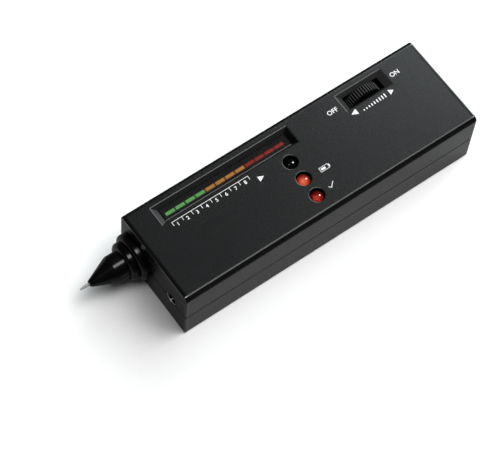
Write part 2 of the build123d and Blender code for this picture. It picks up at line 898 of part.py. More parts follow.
def wheel_shaft():
    """A round shaft in the potentiometer with a D-shaped end in the wheel."""
    start = wheel_far - shaft_depth + fixed_clearance
    flat_end = extrude(shaft_section(0), pot_near - start)
    round_end = Pos(0, 0, pot_near - start) * extrude(Circle(shaft_radius),
                                                      pot_thickness - running_clearance - seat_gap)
    return along_shaft(start, flat_end + round_end)


def potentiometer():
    """The potentiometer's housing: a round body on a flat foot, bored for the shaft."""
    body = rod_y(wheel_x, wheel_z, pot_near, pot_far, pot_radius)
    body += slab(wheel_x - pot_base_width / 2, wheel_x + pot_base_width / 2, pot_near, pot_far,
                 pot_bottom, wheel_z)
    body -= rod_y(wheel_x, wheel_z, pot_near - cut_overrun, pot_far - seat_gap,
                  shaft_radius + running_clearance)
    return body


def potentiometer_pins():
    """Flat legs that stand the potentiometer on the board."""
    y = (pot_near + pot_far) / 2
    pins = []
    for i in range(pot_pin_count):
        x = wheel_x + (i - (pot_pin_count - 1) / 2) * pot_pin_pitch
        pins.append(slab(x - pot_pin_width / 2, x + pot_pin_width / 2,
                         y - pot_pin_thickness / 2, y + pot_pin_thickness / 2,
                         main_top, pot_bottom))
    return group(pins)


def battery():
    """The battery's rounded block; its terminals are a node of their own."""
    section = RectangleRounded(battery_width, battery_thickness, battery_corner_radius)
    block = extrude(Plane.YZ * section, battery_length)
    return Pos(battery_front, battery_middle_y, battery_middle_z) * block


def battery_terminals():
    """The snap terminals on the battery's front: a round stud and a wider crown."""
    x1 = battery_front
    x0 = x1 - terminal_height
    stud_y = battery_middle_y - terminal_spacing / 2
    crown_y = battery_middle_y + terminal_spacing / 2
    stud = rod_x(stud_y, battery_middle_z, x0, x1, stud_radius)
    crown = rod_x(crown_y, battery_middle_z, x0, x1, crown_radius)
    crown -= rod_x(crown_y, battery_middle_z, x0 - cut_overrun, x1 - contact_height,
                   crown_bore_radius)
    return group([stud, crown])


def battery_contacts():
    """Two raised metal contacts: one meets the stud's face, one reaches into the crown."""
    stud_y = battery_middle_y - terminal_spacing / 2
    crown_y = battery_middle_y + terminal_spacing / 2
    to_stud = rod_x(stud_y, battery_middle_z, plate_rear, plate_rear + contact_height,
                    contact_radius)
    to_crown = rod_x(crown_y, battery_middle_z, plate_rear,
                     battery_front - contact_height, contact_radius)
    return group([to_stud, to_crown])


def contact_plate():
    """The upright plate that carries the battery contacts."""
    return contact_plate_block(0)


def jack_body():
    """The socket's moulded body behind the front wall, bored for the plug."""
    x0 = inner_front + sleeve_clearance
    body = slab(x0, x0 + jack_body_length, jack_y - jack_body_width / 2,
                jack_y + jack_body_width / 2, main_top, main_top + jack_body_height)
    body -= rod_x(jack_y, jack_axis_height, x0 - cut_overrun, front + jack_bore_length,
                  jack_bore_radius)
    body -= rod_x(jack_y, jack_axis_height, x0 - cut_overrun, front + sleeve_length + seat_gap,
                  sleeve_step_radius() + seat_gap)
    return body


def sleeve_step_radius():
    """The radius of the sleeve's rear end, which is let into the socket's body."""
    return (sleeve_radius + jack_bore_radius) / 2 - seat_gap


def jack_sleeve():
    """The socket's plated mouth, countersunk so that it guides the plug."""
    mouth = front + jack_mouth_depth
    step = inner_front
    outline = [(front, jack_mouth_radius), (front, sleeve_radius), (step, sleeve_radius),
               (step, sleeve_step_radius()), (front + sleeve_length, sleeve_step_radius()),
               (front + sleeve_length, jack_bore_radius), (mouth, jack_bore_radius)]
    return turned_x(jack_y, jack_axis_height, outline)


def probe_collar():
    """A rounded bead against the case and a spigot through its front wall."""
    solid = rounded_bead(nose_rear, front, collar_radius)
    solid += rod_x(probe_y, probe_z, front, front + spigot_length, spigot_radius)
    solid -= rod_x(probe_y, probe_z, nose_rear - cut_overrun,
                   nose_rear + nose_spigot_length + nose_spigot_gap,
                   nose_spigot_radius + running_clearance)
    solid -= rod_x(probe_y, probe_z, nose_rear, front + spigot_length + cut_overrun,
                   tube_radius + seat_gap)
    return solid


def rounded_bead(x0, x1, radius):
    """A disc on the probe's axis, rounded wide in front and a little behind."""
    disc = rod_x(probe_y, probe_z, x0, x1, radius)
    rims = disc.edges().filter_by(GeomType.CIRCLE).sort_by(Axis.X)
    disc = fillet(rims[0], bead_front_round)
    rims = disc.edges().filter_by(GeomType.CIRCLE).sort_by(Axis.X)
    return fillet(rims[-1], bead_rear_round)


def nose_cone():
    """The probe's tip: a bead, a barrel and a cone, with a spigot behind."""
    spigot_rear = nose_rear + nose_spigot_length
    shape = on_probe([(nose_front, 0), (nose_front, cone_tip_radius),
                      (cone_rear, barrel_radius), (nose_rear, barrel_radius),
                      (nose_rear, nose_spigot_radius), (spigot_rear, nose_spigot_radius),
                      (spigot_rear, 0)])
    waist = shape.edges().filter_by(GeomType.CIRCLE).filter_by_position(
        Axis.X, cone_rear - seat_gap, cone_rear + seat_gap)
    shape = fillet(waist, barrel_edge_round)
    shape += rounded_bead(barrel_rear, nose_rear, nose_bead_radius)
    shape -= rod_x(probe_y, probe_z, stop_x, spigot_rear + cut_overrun, tube_radius + seat_gap)
    shape -= rod_x(probe_y, probe_z, nose_front - cut_overrun, stop_x + cut_overrun,
                   pin_radius + pin_clearance)
    return shape


def probe_nut():
    """The six-sided nut that clamps the collar's spigot from inside the case."""
    section = RegularPolygon(nut_across_flats / 2, 6, major_radius=False)
    section -= Circle(spigot_radius + fixed_clearance)
    nut = extrude(section, nut_thickness)
    return Pos(inner_front, probe_y, probe_z) * Rot(0, 90, 0) * nut


def guide_tube():
    """The thin metal tube that the pin, heater and spring slide in."""
    return on_probe([(stop_x + stop_gap, tube_bore_radius), (stop_x + stop_gap, tube_radius),
                     (front + tube_rear, tube_radius), (front + tube_rear, tube_bore_radius)])


def probe_pin():
    """The metal test pin, with a shoulder that rests against the nose's stop."""
    return on_probe([(pin_tip, 0), (pin_tip, pin_tip_radius),
                     (pin_tip + pin_taper_length, pin_radius), (stop_x, pin_radius),
                     (stop_x, pin_shoulder_radius), (shoulder_rear, pin_shoulder_radius),
                     (shoulder_rear, 0)])


def heater():
    """The ceramic heater and sensor block on the pin's rear face."""
    middle = (shoulder_rear + heater_rear) / 2
    return on_probe([(shoulder_rear, 0), (shoulder_rear, heater_radius),
                     (middle - heater_waist, heater_radius),
                     (middle, heater_radius - heater_waist),
                     (middle + heater_waist, heater_radius),
                     (heater_rear, heater_radius), (heater_rear, 0)])


def probe_spring():
    """The coil spring between the heater and the end plug; its wire is drawn six-sided."""
    run = spring_length - 2 * spring_wire_radius
    path = Helix(run / spring_turns, run, spring_coil_radius)
    start = Plane(origin=path @ 0, z_dir=path % 0)
    coil = sweep(start * RegularPolygon(spring_wire_radius, spring_wire_sides), path)
    return Pos(heater_rear + spring_wire_radius, probe_y, probe_z) * Rot(0, 90, 0) * coil


def end_plug():
    """The plug that closes the guide tube behind the spring."""
    return rod_x(probe_y, probe_z, spring_rear, spring_rear + plug_length,
                 tube_bore_radius - fixed_clearance)


def cross_slot(x, y, z0, z1, radius):
    """The two crossed slots of a screw head."""
    half = slot_width / 2
    return (slab(x - radius, x + radius, y - half, y + half, z0, z1)
            + slab(x - half, x + half, y - radius, y + radius, z0, z1))


def shell_screw(x, y):
    """A shell screw: its head is down in the counterbore, its point up in the boss."""
    head_bottom = shell_screw_seat - shell_screw_head_height
    tip = shell_screw_seat + shell_screw_grip
    screw = turned_z(x, y, [(0, head_bottom), (shell_screw_head_radius, head_bottom),
                            (shell_screw_head_radius, shell_screw_seat),
                            (shell_screw_radius, shell_screw_seat),
                            (shell_screw_radius, tip - shell_screw_radius), (0, tip)])
    return screw - cross_slot(x, y, head_bottom - cut_overrun, head_bottom + slot_depth,
                              shell_screw_radius)


def board_screw(x, y, seat, up):
    """A board screw; up is 1 if its shank points up, and -1 if it points down."""
    head = seat - up * board_screw_head_height
    tip = seat + up * board_screw_length
    screw = turned_z(x, y, [(0, head), (board_screw_head_radius, head),
                            (board_screw_head_radius, seat), (board_screw_radius, seat),
                            (board_screw_radius, tip - up * board_screw_radius), (0, tip)])
    slot_end = head + up * slot_depth
    slot_start = head - up * slot_depth
    return screw - cross_slot(x, y, min(slot_start, slot_end), max(slot_start, slot_end),
                              board_screw_radius)


def jack_pins():
    """The socket's flat legs, which stand it on the board."""
    x0 = inner_front + sleeve_clearance
    pins = []
    for share in jack_pin_shares:
        x = x0 + share * jack_body_length
        for side in (-1, 1):
            y0 = jack_y + side * jack_body_width / 2
            y1 = y0 + side * jack_pin_thickness
            pins.append(slab(x - jack_pin_width / 2, x + jack_pin_width / 2,
                             min(y0, y1), max(y0, y1), main_top, jack_axis_height))
    return group(pins)


parts = {
    "top_shell": top_shell(),
    "bottom_shell": bottom_shell(),
    "battery_cover": battery_cover(),
    "display_lens": display_lens(),
    "segment_holder": segment_holder(),
    "green_segments": light_segments(0),
    "orange_segments": light_segments(1),
    "red_segments": light_segments(2),
    "alert_lamp": lamp(0),
    "battery_lamp": lamp(1),
    "ready_lamp": lamp(2),
    "volume_wheel": volume_wheel(),
    "wheel_shaft": wheel_shaft(),
    "potentiometer": potentiometer(),
    "potentiometer_pins": potentiometer_pins(),
    "display_board": display_board(),
    "main_board": main_board(),
    "header_strip": header_strip(),
    "header_pins": header_pins(),
    "driver_chips": driver_chips(),
    "resistors": resistors(),
    "capacitors": capacitors(),
    "buzzer": buzzer(),
    "jack_body": jack_body(),
    "jack_sleeve": jack_sleeve(),
    "jack_pins": jack_pins(),
    "battery": battery(),
    "battery_terminals": battery_terminals(),
    "contact_plate": contact_plate(),
    "battery_contacts": battery_contacts(),
    "probe_collar": probe_collar(),
    "probe_nut": probe_nut(),
    "nose_cone": nose_cone(),
    "guide_tube": guide_tube(),
    "probe_pin": probe_pin(),
    "heater": heater(),
    "probe_spring": probe_spring(),
    "end_plug": end_plug(),
    "shell_screws": group(shell_screw(x, y) for x, y in shell_screw_places),
    "display_screws": group(board_screw(x, y, display_bottom, 1)
                            for x, y in display_screw_places()),
    "main_screws": group(board_screw(x, y, main_top, -1) for x, y in main_screw_places()),
}

os.makedirs("parts", exist_ok=True)
for name, solid in parts.items():
    export_step(solid, "parts/" + name + ".step")
print("case", case_length, case_width, case_height, "overall length", rear - pin_tip)
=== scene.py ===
# %% [markdown]
# A hand-held thermal tester is a flat black box. A sprung metal pin stands out of one end,
# twelve coloured segments light up behind a smoked window, three round lamps sit beside it,
# and a ribbed thumbwheel sets the loudness and switches it off. The solid model of every part
# comes in as a fixed frame, and this notebook dresses it: light, finishes, polished forms, print.

# %% Load the frame
import json
from math import cos, pi, radians, sin, tau

import bmesh
import bpy
from mathutils import Matrix, Vector

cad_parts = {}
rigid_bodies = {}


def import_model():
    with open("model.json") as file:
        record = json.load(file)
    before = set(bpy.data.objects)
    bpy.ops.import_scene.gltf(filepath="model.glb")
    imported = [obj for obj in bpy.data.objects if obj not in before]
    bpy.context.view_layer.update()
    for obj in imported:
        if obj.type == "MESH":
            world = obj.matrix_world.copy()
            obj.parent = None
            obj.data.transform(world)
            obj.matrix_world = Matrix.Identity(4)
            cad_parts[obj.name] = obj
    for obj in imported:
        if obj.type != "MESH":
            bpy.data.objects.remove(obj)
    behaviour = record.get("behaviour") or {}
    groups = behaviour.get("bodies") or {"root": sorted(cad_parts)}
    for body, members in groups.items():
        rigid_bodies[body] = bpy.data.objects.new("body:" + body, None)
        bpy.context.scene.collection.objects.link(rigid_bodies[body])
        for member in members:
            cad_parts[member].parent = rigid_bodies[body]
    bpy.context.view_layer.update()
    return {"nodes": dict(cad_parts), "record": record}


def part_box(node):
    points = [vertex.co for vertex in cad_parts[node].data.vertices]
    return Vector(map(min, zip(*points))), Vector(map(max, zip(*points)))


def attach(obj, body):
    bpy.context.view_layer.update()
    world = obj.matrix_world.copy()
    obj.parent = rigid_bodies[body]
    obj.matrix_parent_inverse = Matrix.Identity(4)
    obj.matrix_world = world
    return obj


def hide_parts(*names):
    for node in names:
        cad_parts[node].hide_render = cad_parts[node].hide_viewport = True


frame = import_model()
MM = 0.001
print("parts in the frame:", len(frame["nodes"]))

# %% [markdown]
# The picture is taken from high above the near front corner with a long lens, so the box hardly
# narrows with distance. A photographer would note the spot that the camera aims at, how far it
# stands, how high, and how much it is tilted, and the same notes place it here.

# %% Place the camera
aim_spot = Vector((-19.707, 0.119, 0.0)) * MM
stand_distance = 698.37 * MM
stand_azimuth = radians(-41.958)
stand_height_angle = radians(62.860)
camera_tilt = radians(6.721)
lens_length = 148.27
near_clip = 10 * MM

sight = Vector((-sin(stand_azimuth), cos(stand_azimuth), 0)) * cos(stand_height_angle)
sight.z = -sin(stand_height_angle)
camera_data = bpy.data.cameras.new("studio_camera")
camera_data.lens = lens_length
camera_data.clip_start = near_clip
camera = bpy.data.objects.new("studio_camera", camera_data)
bpy.context.scene.collection.objects.link(camera)
turned = sight.to_track_quat("-Z", "Y").to_matrix().to_4x4()
turned = turned @ Matrix.Rotation(camera_tilt, 4, "Z")
camera.matrix_world = Matrix.Translation(aim_spot - sight * stand_distance) @ turned
bpy.context.scene.camera = camera
print("camera stands at, in mm:", [round(v / MM, 1) for v in camera.matrix_world.translation])

# %% [markdown]
# Glossy black plastic shows its surroundings more than its own colour, so the light is built from
# panels whose reflections fall where the picture has them. A small strong card behind the rear end
# makes the sharp dot on each lamp, and a smaller one over the front a second, faint dot. A long
# panel overhead draws the line along the top edge and the stripe on the probe. A wide panel beyond
# the far rear corner, a little cool, lifts the rear of the top. The smoked window would mirror that
# one too brightly, and has a dim grey card instead. A big soft cloth high over the rear and near
# side lights the paper, so that the shadow falls forward, below the probe. The cards only shine in
# reflections and the cloth only lights matt surfaces, so neither spoils the other.

# %% Hang the light panels
# Each row: the direction to hang it in, its distance and size in metres, its glow and its use.
panels = {
    "bright_card": ((0.75, 0.0, 0.645), 1.0, (0.34, 0.34), 60.0, "reflections"),
    "small_card": ((-0.32, 0.0, 0.95), 1.0, (0.14, 0.14), 30.0, "reflections"),
    "overhead_panel": ((0.06, -0.14, 1.0), 1.0, (1.12, 0.28), 5.5, "all"),
    "rear_panel": ((0.75, 0.43, 0.50), 1.2, (0.80, 1.02), 5.0, "all"),
    "grey_card": ((0.36, 0.33, 0.87), 1.0, (0.60, 0.60), 0.11, "reflections"),
    "soft_cloth": ((0.45, -0.20, 0.87), 1.1, (0.90, 0.90), 3.9, "matt"),
}
cool_tint = (0.94, 1.0, 1.015)
nearly_overhead = 0.2


def hang_panel(name, direction, distance, size, glow, use):
    """Hang a rectangular light that faces the tester; glow is the brightness of its face."""
    light = bpy.data.lights.new(name, "AREA")
    light.shape = "RECTANGLE"
    light.size, light.size_y = size
    light.energy = glow * pi * size[0] * size[1]
    hung = bpy.data.objects.new(name, light)
    hung.visible_diffuse = use != "reflections"
    hung.visible_glossy = use != "matt"
    hung.visible_transmission = False
    away = Vector(direction).normalized()
    across = Vector((0, 0, 1)).cross(away)
    if across.length < nearly_overhead:
        across = Vector((1, 0, 0))
    across.normalize()
    upward = away.cross(across)
    facing = Matrix((across, upward, away)).transposed().to_4x4()
    hung.matrix_world = Matrix.Translation(away * distance) @ facing
    bpy.context.scene.collection.objects.link(hung)


for panel, facts in panels.items():
    hang_panel(panel, *facts)
bpy.data.lights["rear_panel"].color = cool_tint
bpy.context.scene.view_settings.view_transform = "Standard"
print("panels:", ", ".join(panels))

# %% [markdown]
# Every finish is a small network of nodes, and a few helpers keep the networks short to write.
# The first ones add a node, fill its sockets and do sums with values and masks.

# %% Helpers for nodes
def fill(tree, target, sockets):
    """Give each named socket of a node its value, or a link from another node's output."""
    for socket, value in sockets.items():
        if isinstance(value, bpy.types.NodeSocket):
            tree.links.new(value, target.inputs[socket])
        else:
            target.inputs[socket].default_value = value


def node(tree, kind, sockets=None, **settings):
    """Add a node with its settings and fill its sockets."""
    made = tree.nodes.new("ShaderNode" + kind)
    for name, value in settings.items():
        setattr(made, name, value)
    fill(tree, made, sockets or {})
    return made


def maths(tree, operation, first, second=0.0, clamp=False):
    """Add one sum of values and return its result."""
    sockets = {0: first, 1: second}
    return node(tree, "Math", sockets, operation=operation, use_clamp=clamp).outputs[0]


def times(tree, first, *others):
    """Multiply values, as when one mask is cut by another."""
    for other in others:
        first = maths(tree, "MULTIPLY", first, other)
    return first


def vectors(tree, operation, first, second=(0.0, 0.0, 0.0), result="Vector"):
    """Add one sum of vectors and return its result, a vector or a value."""
    return node(tree, "VectorMath", {0: first, 1: second}, operation=operation).outputs[result]


def axes_of(tree, vector):
    """Split a vector into its X, Y and Z."""
    return node(tree, "SeparateXYZ", {0: vector}).outputs


def spread(tree, value, low, high, from_low=0.0, from_high=1.0):
    """Map a value onto the stretch from low to high."""
    sockets = {"Value": value, "From Min": from_low, "From Max": from_high,
               "To Min": low, "To Max": high}
    return node(tree, "MapRange", sockets).outputs["Result"]


def rising(tree, value, start, end):
    """A mask that is 0 where the value is below the start and 1 where it is past the end."""
    return spread(tree, value, 0.0, 1.0, start, end)


def falling(tree, value, start, end):
    """A mask that is 1 where the value is below the start and 0 where it is past the end."""
    return spread(tree, value, 1.0, 0.0, start, end)


def blend_colours(tree, mask, first, second):
    """Mix two colours by a mask."""
    sockets = {0: mask}
    for place, colour in ((6, first), (7, second)):
        sockets[place] = colour if isinstance(colour, bpy.types.NodeSocket) else (*colour, 1)
    return node(tree, "Mix", sockets, data_type="RGBA").outputs[2]


def noise(tree, place, scale, **sockets):
    """Soft noise at a place; the other sockets are named as on the node."""
    return node(tree, "TexNoise", {"Vector": place, "Scale": scale, **sockets}).outputs["Fac"]


print("helpers for nodes are ready")

# %% [markdown]
# An effect that several finishes share is a named group with inputs and outputs of its own. A
# finish starts from the standard shader and the piece's own coordinates, and is kept in a list
# under the name of its slot. The texture of its surface comes from a height that is turned into
# a bent normal, because real pits of this size would need millions of faces.

# %% Helpers for effects and finishes
def open_group(name, inputs, outputs):
    """Open a named effect and return its tree, its input sockets and its output node."""
    group = bpy.data.node_groups.new(name, "ShaderNodeTree")
    for label, kind, preset in inputs:
        socket = group.interface.new_socket(label, in_out="INPUT", socket_type="NodeSocket" + kind)
        if preset is not None:
            socket.default_value = preset
    for label, kind in outputs:
        group.interface.new_socket(label, in_out="OUTPUT", socket_type="NodeSocket" + kind)
    return group, group.nodes.new("NodeGroupInput").outputs, group.nodes.new("NodeGroupOutput")


def use_group(tree, group, sockets):
    """Put a named effect into a finish and return its outputs."""
    return node(tree, "Group", sockets, node_tree=group).outputs


finishes = {}


def open_finish(name):
    """Start a finish: its tree, its shader and the piece's own coordinates."""
    finishes[name] = bpy.data.materials.new(name)
    finishes[name].use_nodes = True
    tree = finishes[name].node_tree
    print("finish:", name)
    return tree, tree.nodes["Principled BSDF"], node(tree, "TexCoord").outputs["Object"]


def relief(tree, height, depth, strength):
    """Turn a height into the normal of a surface with small relief."""
    sockets = {"Height": height, "Distance": depth, "Strength": strength}
    return node(tree, "Bump", sockets).outputs["Normal"]


def grey(shade):
    """A colour without a tint."""
    return (shade, shade, shade)


print("helpers for finishes are ready")

# %% [markdown]
# Moulds for plastic housings are spark eroded, which leaves a fine even grain of small pits that
# the plastic copies. Noise for the pits and rounded cells for the bumps between them give it.

# %% Effect: moulded grain
def make_moulded_grain():
    """Relief of a spark-eroded mould: a height and a mask of its pits."""
    group, given, result = open_group(
        "moulded_grain",
        (("Place", "Vector", None), ("Scale", "Float", 4500.0)),
        (("Height", "Float"), ("Pits", "Float")))
    pits = noise(group, given["Place"], given["Scale"], Detail=3.0, Roughness=0.6)
    cell_sockets = {"Vector": given["Place"], "Scale": times(group, given["Scale"], 0.6)}
    cells = node(group, "TexVoronoi", cell_sockets).outputs["Distance"]
    height = maths(group, "ADD", times(group, pits, 0.7), times(group, cells, 0.3))
    fill(group, result, {"Height": height, "Pits": rising(group, pits, 0.35, 0.65)})
    return group


moulded_grain = make_moulded_grain()


def grained(tree, place, scale):
    """Put moulded grain into a finish and return its outputs."""
    return use_group(tree, moulded_grain, {"Place": place, "Scale": scale})


print("effect:", moulded_grain.name)

# %% [markdown]
# A tool that is held in the hand gets a sheen where fingers rub it: wide cloudy patches, and in
# them faint short scuffs. The patches come from large soft noise, the scuffs from noise that is
# stretched in one direction.

# %% Effect: handling sheen
def make_handling_sheen():
    """Cloudy patches with faint scuffs in them, as a mask from 0, untouched, to 1, rubbed."""
    group, given, result = open_group(
        "handling_sheen",
        (("Place", "Vector", None), ("Patch Scale", "Float", 45.0), ("Scuffs", "Float", 0.3)),
        (("Rub", "Float"),))
    patches = noise(group, given["Place"], given["Patch Scale"], Detail=4.0, Distortion=0.6)
    stretched = node(group, "Mapping", {"Vector": given["Place"], "Rotation": (0.2, 0.1, 0.5),
                                        "Scale": (300.0, 4200.0, 3000.0)}).outputs["Vector"]
    lines = noise(group, stretched, 1.0, Detail=2.0)
    scuffs = times(group, rising(group, lines, 0.62, 0.72), given["Scuffs"])
    clouds = rising(group, patches, 0.35, 0.7)
    rub = maths(group, "ADD", clouds, times(group, scuffs, clouds), clamp=True)
    fill(group, result, {"Rub": rub})
    return group


handling_sheen = make_handling_sheen()


def rubbed(tree, place, patch_scale, scuffs):
    """Put handling sheen into a finish and return its mask."""
    return use_group(tree, handling_sheen,
                     {"Place": place, "Patch Scale": patch_scale, "Scuffs": scuffs})["Rub"]


print("effect:", handling_sheen.name)

# %% [markdown]
# The edges of a box are polished first, in the mould and later in a pocket. Wear could be painted
# on by hand. Here the effect measures how near a point is to two faces of a box at once, which is
# only so along its edges, and it still fits when the box changes size. The housing also uses it
# for a painted shade along its edges.

# %% Effect: edge polish and painted edge shade
def make_edge_polish_and_shade():
    """A mask that is 1 along the edges of a box and 0 on its faces."""
    group, given, result = open_group(
        "edge_polish_and_shade",
        (("Place", "Vector", None), ("Centre", "Vector", None), ("Half Size", "Vector", None),
         ("Width", "Float", 0.002)),
        (("Edges", "Float"),))
    offset = vectors(group, "SUBTRACT", given["Place"], given["Centre"])
    inside = vectors(group, "SUBTRACT", given["Half Size"], vectors(group, "ABSOLUTE", offset))
    near = [falling(group, maths(group, "DIVIDE", axis, given["Width"]), 0.0, 1.0)
            for axis in axes_of(group, inside)]
    total = maths(group, "ADD", maths(group, "ADD", near[0], near[1]), near[2])
    fill(group, result, {"Edges": rising(group, total, 1.05, 1.6)})
    return group


edge_polish_and_shade = make_edge_polish_and_shade()
print("effect:", edge_polish_and_shade.name)

# %% [markdown]
# A turned part keeps the path of the cutting tool: very fine rings around its axis, a little
# uneven. They are far too fine to model, so a wave along the axis, bent by noise, gives them.

# %% Effect: tool rings
def make_tool_rings():
    """Fine rings across one direction of a turned part."""
    group, given, result = open_group(
        "tool_rings",
        (("Place", "Vector", None), ("Axis", "Vector", (1.0, 0.0, 0.0)), ("Scale", "Float", 9000.0)),
        (("Height", "Float"), ("Rings", "Float")))
    along = vectors(group, "DOT_PRODUCT", given["Place"], given["Axis"], "Value")
    wobble = noise(group, given["Place"], 300.0)
    phase = maths(group, "ADD", times(group, along, given["Scale"]), wobble)
    rings = rising(group, maths(group, "SINE", phase), -1.0, 1.0)
    uneven = times(group, rings, noise(group, given["Place"], 1500.0, Detail=2.0))
    fill(group, result, {"Height": uneven, "Rings": rising(group, uneven, 0.0, 0.7)})
    return group


tool_rings = make_tool_rings()
print("effect:", tool_rings.name)

# %% [markdown]
# Light inside coloured plastic is strongest near its source and fades towards the skin. The
# effect is a soft ball of brightness around a point, and flecks of dull resin can mottle it.

# %% Effect: inner glow
def make_inner_glow():
    """Brightness that fades from a point to nothing at a radius."""
    group, given, result = open_group(
        "inner_glow",
        (("Place", "Vector", None), ("Source", "Vector", None), ("Radius", "Float", 0.002),
         ("Mottle", "Float", 0.0)),
        (("Glow", "Float"),))
    distance = vectors(group, "DISTANCE", given["Place"], given["Source"], "Value")
    fade = falling(group, maths(group, "DIVIDE", distance, given["Radius"]), 0.3, 1.0)
    soft = maths(group, "POWER", fade, 1.6)
    flecks = noise(group, given["Place"], 1300.0, Detail=1.0)
    dull = times(group, falling(group, flecks, 0.4, 0.6), given["Mottle"])
    fill(group, result, {"Glow": times(group, soft, maths(group, "SUBTRACT", 1.0, dull))})
    return group


inner_glow = make_inner_glow()
print("effect:", inner_glow.name)

# %% [markdown]
# Each lamp looks out of a round hole whose lip leans in towards it and catches a thin line of
# light. The slope is a fifth of a millimetre wide, so it is drawn in the shading: the effect gives
# a mask of the ring around the hole and the way its surface faces, first inwards, then level.

# %% Effect: seat of a lamp
seat_inner = 2.70 * MM
seat_lip = 2.90 * MM
seat_outer = 3.50 * MM
lip_lean = 0.25


def make_lamp_seat():
    """The rim of a lamp's hole: a mask of it, and the way that its surface faces."""
    group, given, result = open_group(
        "lamp_seat", (("Place", "Vector", None), ("Centre", "Vector", None)),
        (("Seat", "Float"), ("Slope", "Vector")))
    offset = vectors(group, "SUBTRACT", given["Place"], given["Centre"])
    flat = vectors(group, "MULTIPLY", offset, (1, 1, 0))
    distance = vectors(group, "LENGTH", flat, result="Value")
    outward = vectors(group, "NORMALIZE", flat)
    lean = spread(group, distance, -lip_lean, 0.0, seat_lip, seat_lip + 0.04 * MM)
    slope = vectors(group, "ADD", vectors(group, "MULTIPLY", outward, lean), (0, 0, 1))
    ring = times(group, rising(group, distance, seat_inner, seat_inner + 0.02 * MM),
                 falling(group, distance, seat_outer - 0.05 * MM, seat_outer))
    fill(group, result, {"Seat": ring, "Slope": vectors(group, "NORMALIZE", slope)})
    return group


lamp_seat = make_lamp_seat()
print("effect:", lamp_seat.name)

# %% [markdown]
# Several finishes depend on where a point lies on the tester, so the housing and the window are
# measured first. The box of any part can be read from the frame.

# %% Measure the housing and the window
def middle(part):
    """The middle of a part's box."""
    low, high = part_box(part)
    return (low + high) / 2


case_low, case_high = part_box("top_shell")
case_low.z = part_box("bottom_shell")[0].z
case_centre = (case_low + case_high) / 2
case_half = (case_high - case_low) / 2
window_low, window_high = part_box("display_lens")
print("housing in mm:", [round(side / MM, 2) for side in 2 * case_half])
print("window strip in mm:", [round(side / MM, 2) for side in window_high - window_low])

# %% [markdown]
# The window and the wheel sit behind slopes that are cut into the top along one line. They are of
# the same plastic, painted paler, a painted reflection of the lights. The front one faces the light
# and is painted palest, and those that face forward, away from it, are painted nearly black, a
# painted shade. Separate pieces could carry these shades, but would leave seams. Masks find the
# slopes by how deep a point lies, how far it is from the line and which way its face points.

# %% Painted light and shade on the slopes
slope_depth = 0.12 * MM
line_half_width = 4.4 * MM


def painted_slope_light(tree, place, spot):
    """Masks of the slopes around the window and the wheel, each with its painted light or shade."""
    facing = axes_of(tree, node(tree, "NewGeometry").outputs["True Normal"])
    recessed = falling(tree, spot["Z"], case_high.z - slope_depth, case_high.z - 0.08 * MM)
    off_line = maths(tree, "ABSOLUTE",
                     maths(tree, "SUBTRACT", spot["Y"], middle("display_lens").y))
    in_line = falling(tree, off_line, line_half_width - 0.2 * MM, line_half_width)
    sloped = times(tree, recessed, in_line, rising(tree, facing["Z"], 0.3, 0.4))
    at_front = falling(tree, spot["X"], window_low.x + MM, window_low.x + 2 * MM)
    rearward = rising(tree, facing["X"], 0.35, 0.5)
    forward = falling(tree, facing["X"], -0.5, -0.35)
    by_wheel = rising(tree, spot["X"], window_high.x + MM, window_high.x + 2 * MM)
    # Each slope's colour is painted light or painted shade, by the way that it faces.
    return ((sloped, (0.014, 0.014, 0.015)),
            (times(tree, sloped, at_front, rearward), (0.038, 0.038, 0.040)),
            (times(tree, sloped, forward), grey(0.001)),
            (times(tree, sloped, by_wheel), grey(0.024)))


print("slopes start below the top by, in mm:", slope_depth / MM)

# %% [markdown]
# The housing is dark charcoal plastic with a satin skin. It is nearly black in itself, so the
# greys on it are reflections: the relief and the roughness matter more than the colour. Rubbed
# patches shine a little more. The edges of the box are painted blacker, a painted shade for the
# dark band that their rounds mirror, and those of the top are also almost polished. The slopes
# carry painted light and shade. The seats of the lamps bend the shading around their holes, on
# the top only.

# %% Finish: housing plastic
edge_width = 1.6 * MM
lamp_parts = ("alert_lamp", "battery_lamp", "ready_lamp")


def make_case_plastic():
    """Dark satin housing plastic with polished edges."""
    tree, shader, place = open_finish("case_plastic")
    spot = axes_of(tree, place)
    grain = grained(tree, place, 4500.0)
    rub = rubbed(tree, place, 45.0, 0.25)
    edges = use_group(tree, edge_polish_and_shade, {"Place": place, "Centre": case_centre,
                                          "Half Size": case_half, "Width": edge_width})["Edges"]
    body = blend_colours(tree, grain["Pits"], (0.0028, 0.0031, 0.0032), (0.0046, 0.0050, 0.0051))
    body = blend_colours(tree, times(tree, rub, 0.4), body, (0.0055, 0.0060, 0.0062))
    # Painted light and shade on the slopes, then a painted shade along the edges.
    for mask, shade in painted_slope_light(tree, place, spot):
        body = blend_colours(tree, mask, body, shade)
    # All edges are painted nearly black, a painted shade for the dark band that the rounds mirror.
    body = blend_colours(tree, edges, body, grey(0.0006))

    near_top = spread(tree, spot["Z"], 0.15, 1.0, case_high.z - edge_width,
                      case_high.z - edge_width / 2)
    polish = times(tree, edges, near_top)
    satin = maths(tree, "ADD", spread(tree, rub, 0.265, 0.25),
                  spread(tree, grain["Pits"], 0.02, 0.0))
    rough = maths(tree, "SUBTRACT", satin, times(tree, polish, 0.15))

    surface = relief(tree, grain["Height"], 0.004 * MM, 0.5)
    on_top = rising(tree, spot["Z"], case_high.z - 0.6 * MM, case_high.z - 0.5 * MM)
    for lamp in lamp_parts:
        seat = use_group(tree, lamp_seat, {"Place": place, "Centre": middle(lamp)})
        around = times(tree, seat["Seat"], on_top)
        surface = node(tree, "Mix", {0: around, 4: surface, 5: seat["Slope"]},
                       data_type="VECTOR").outputs[1]
    fill(tree, shader, {"Base Color": body, "Roughness": rough, "Coat Weight": polish,
                        "Coat Roughness": 0.08, "Coat IOR": 1.7, "Normal": surface})


make_case_plastic()
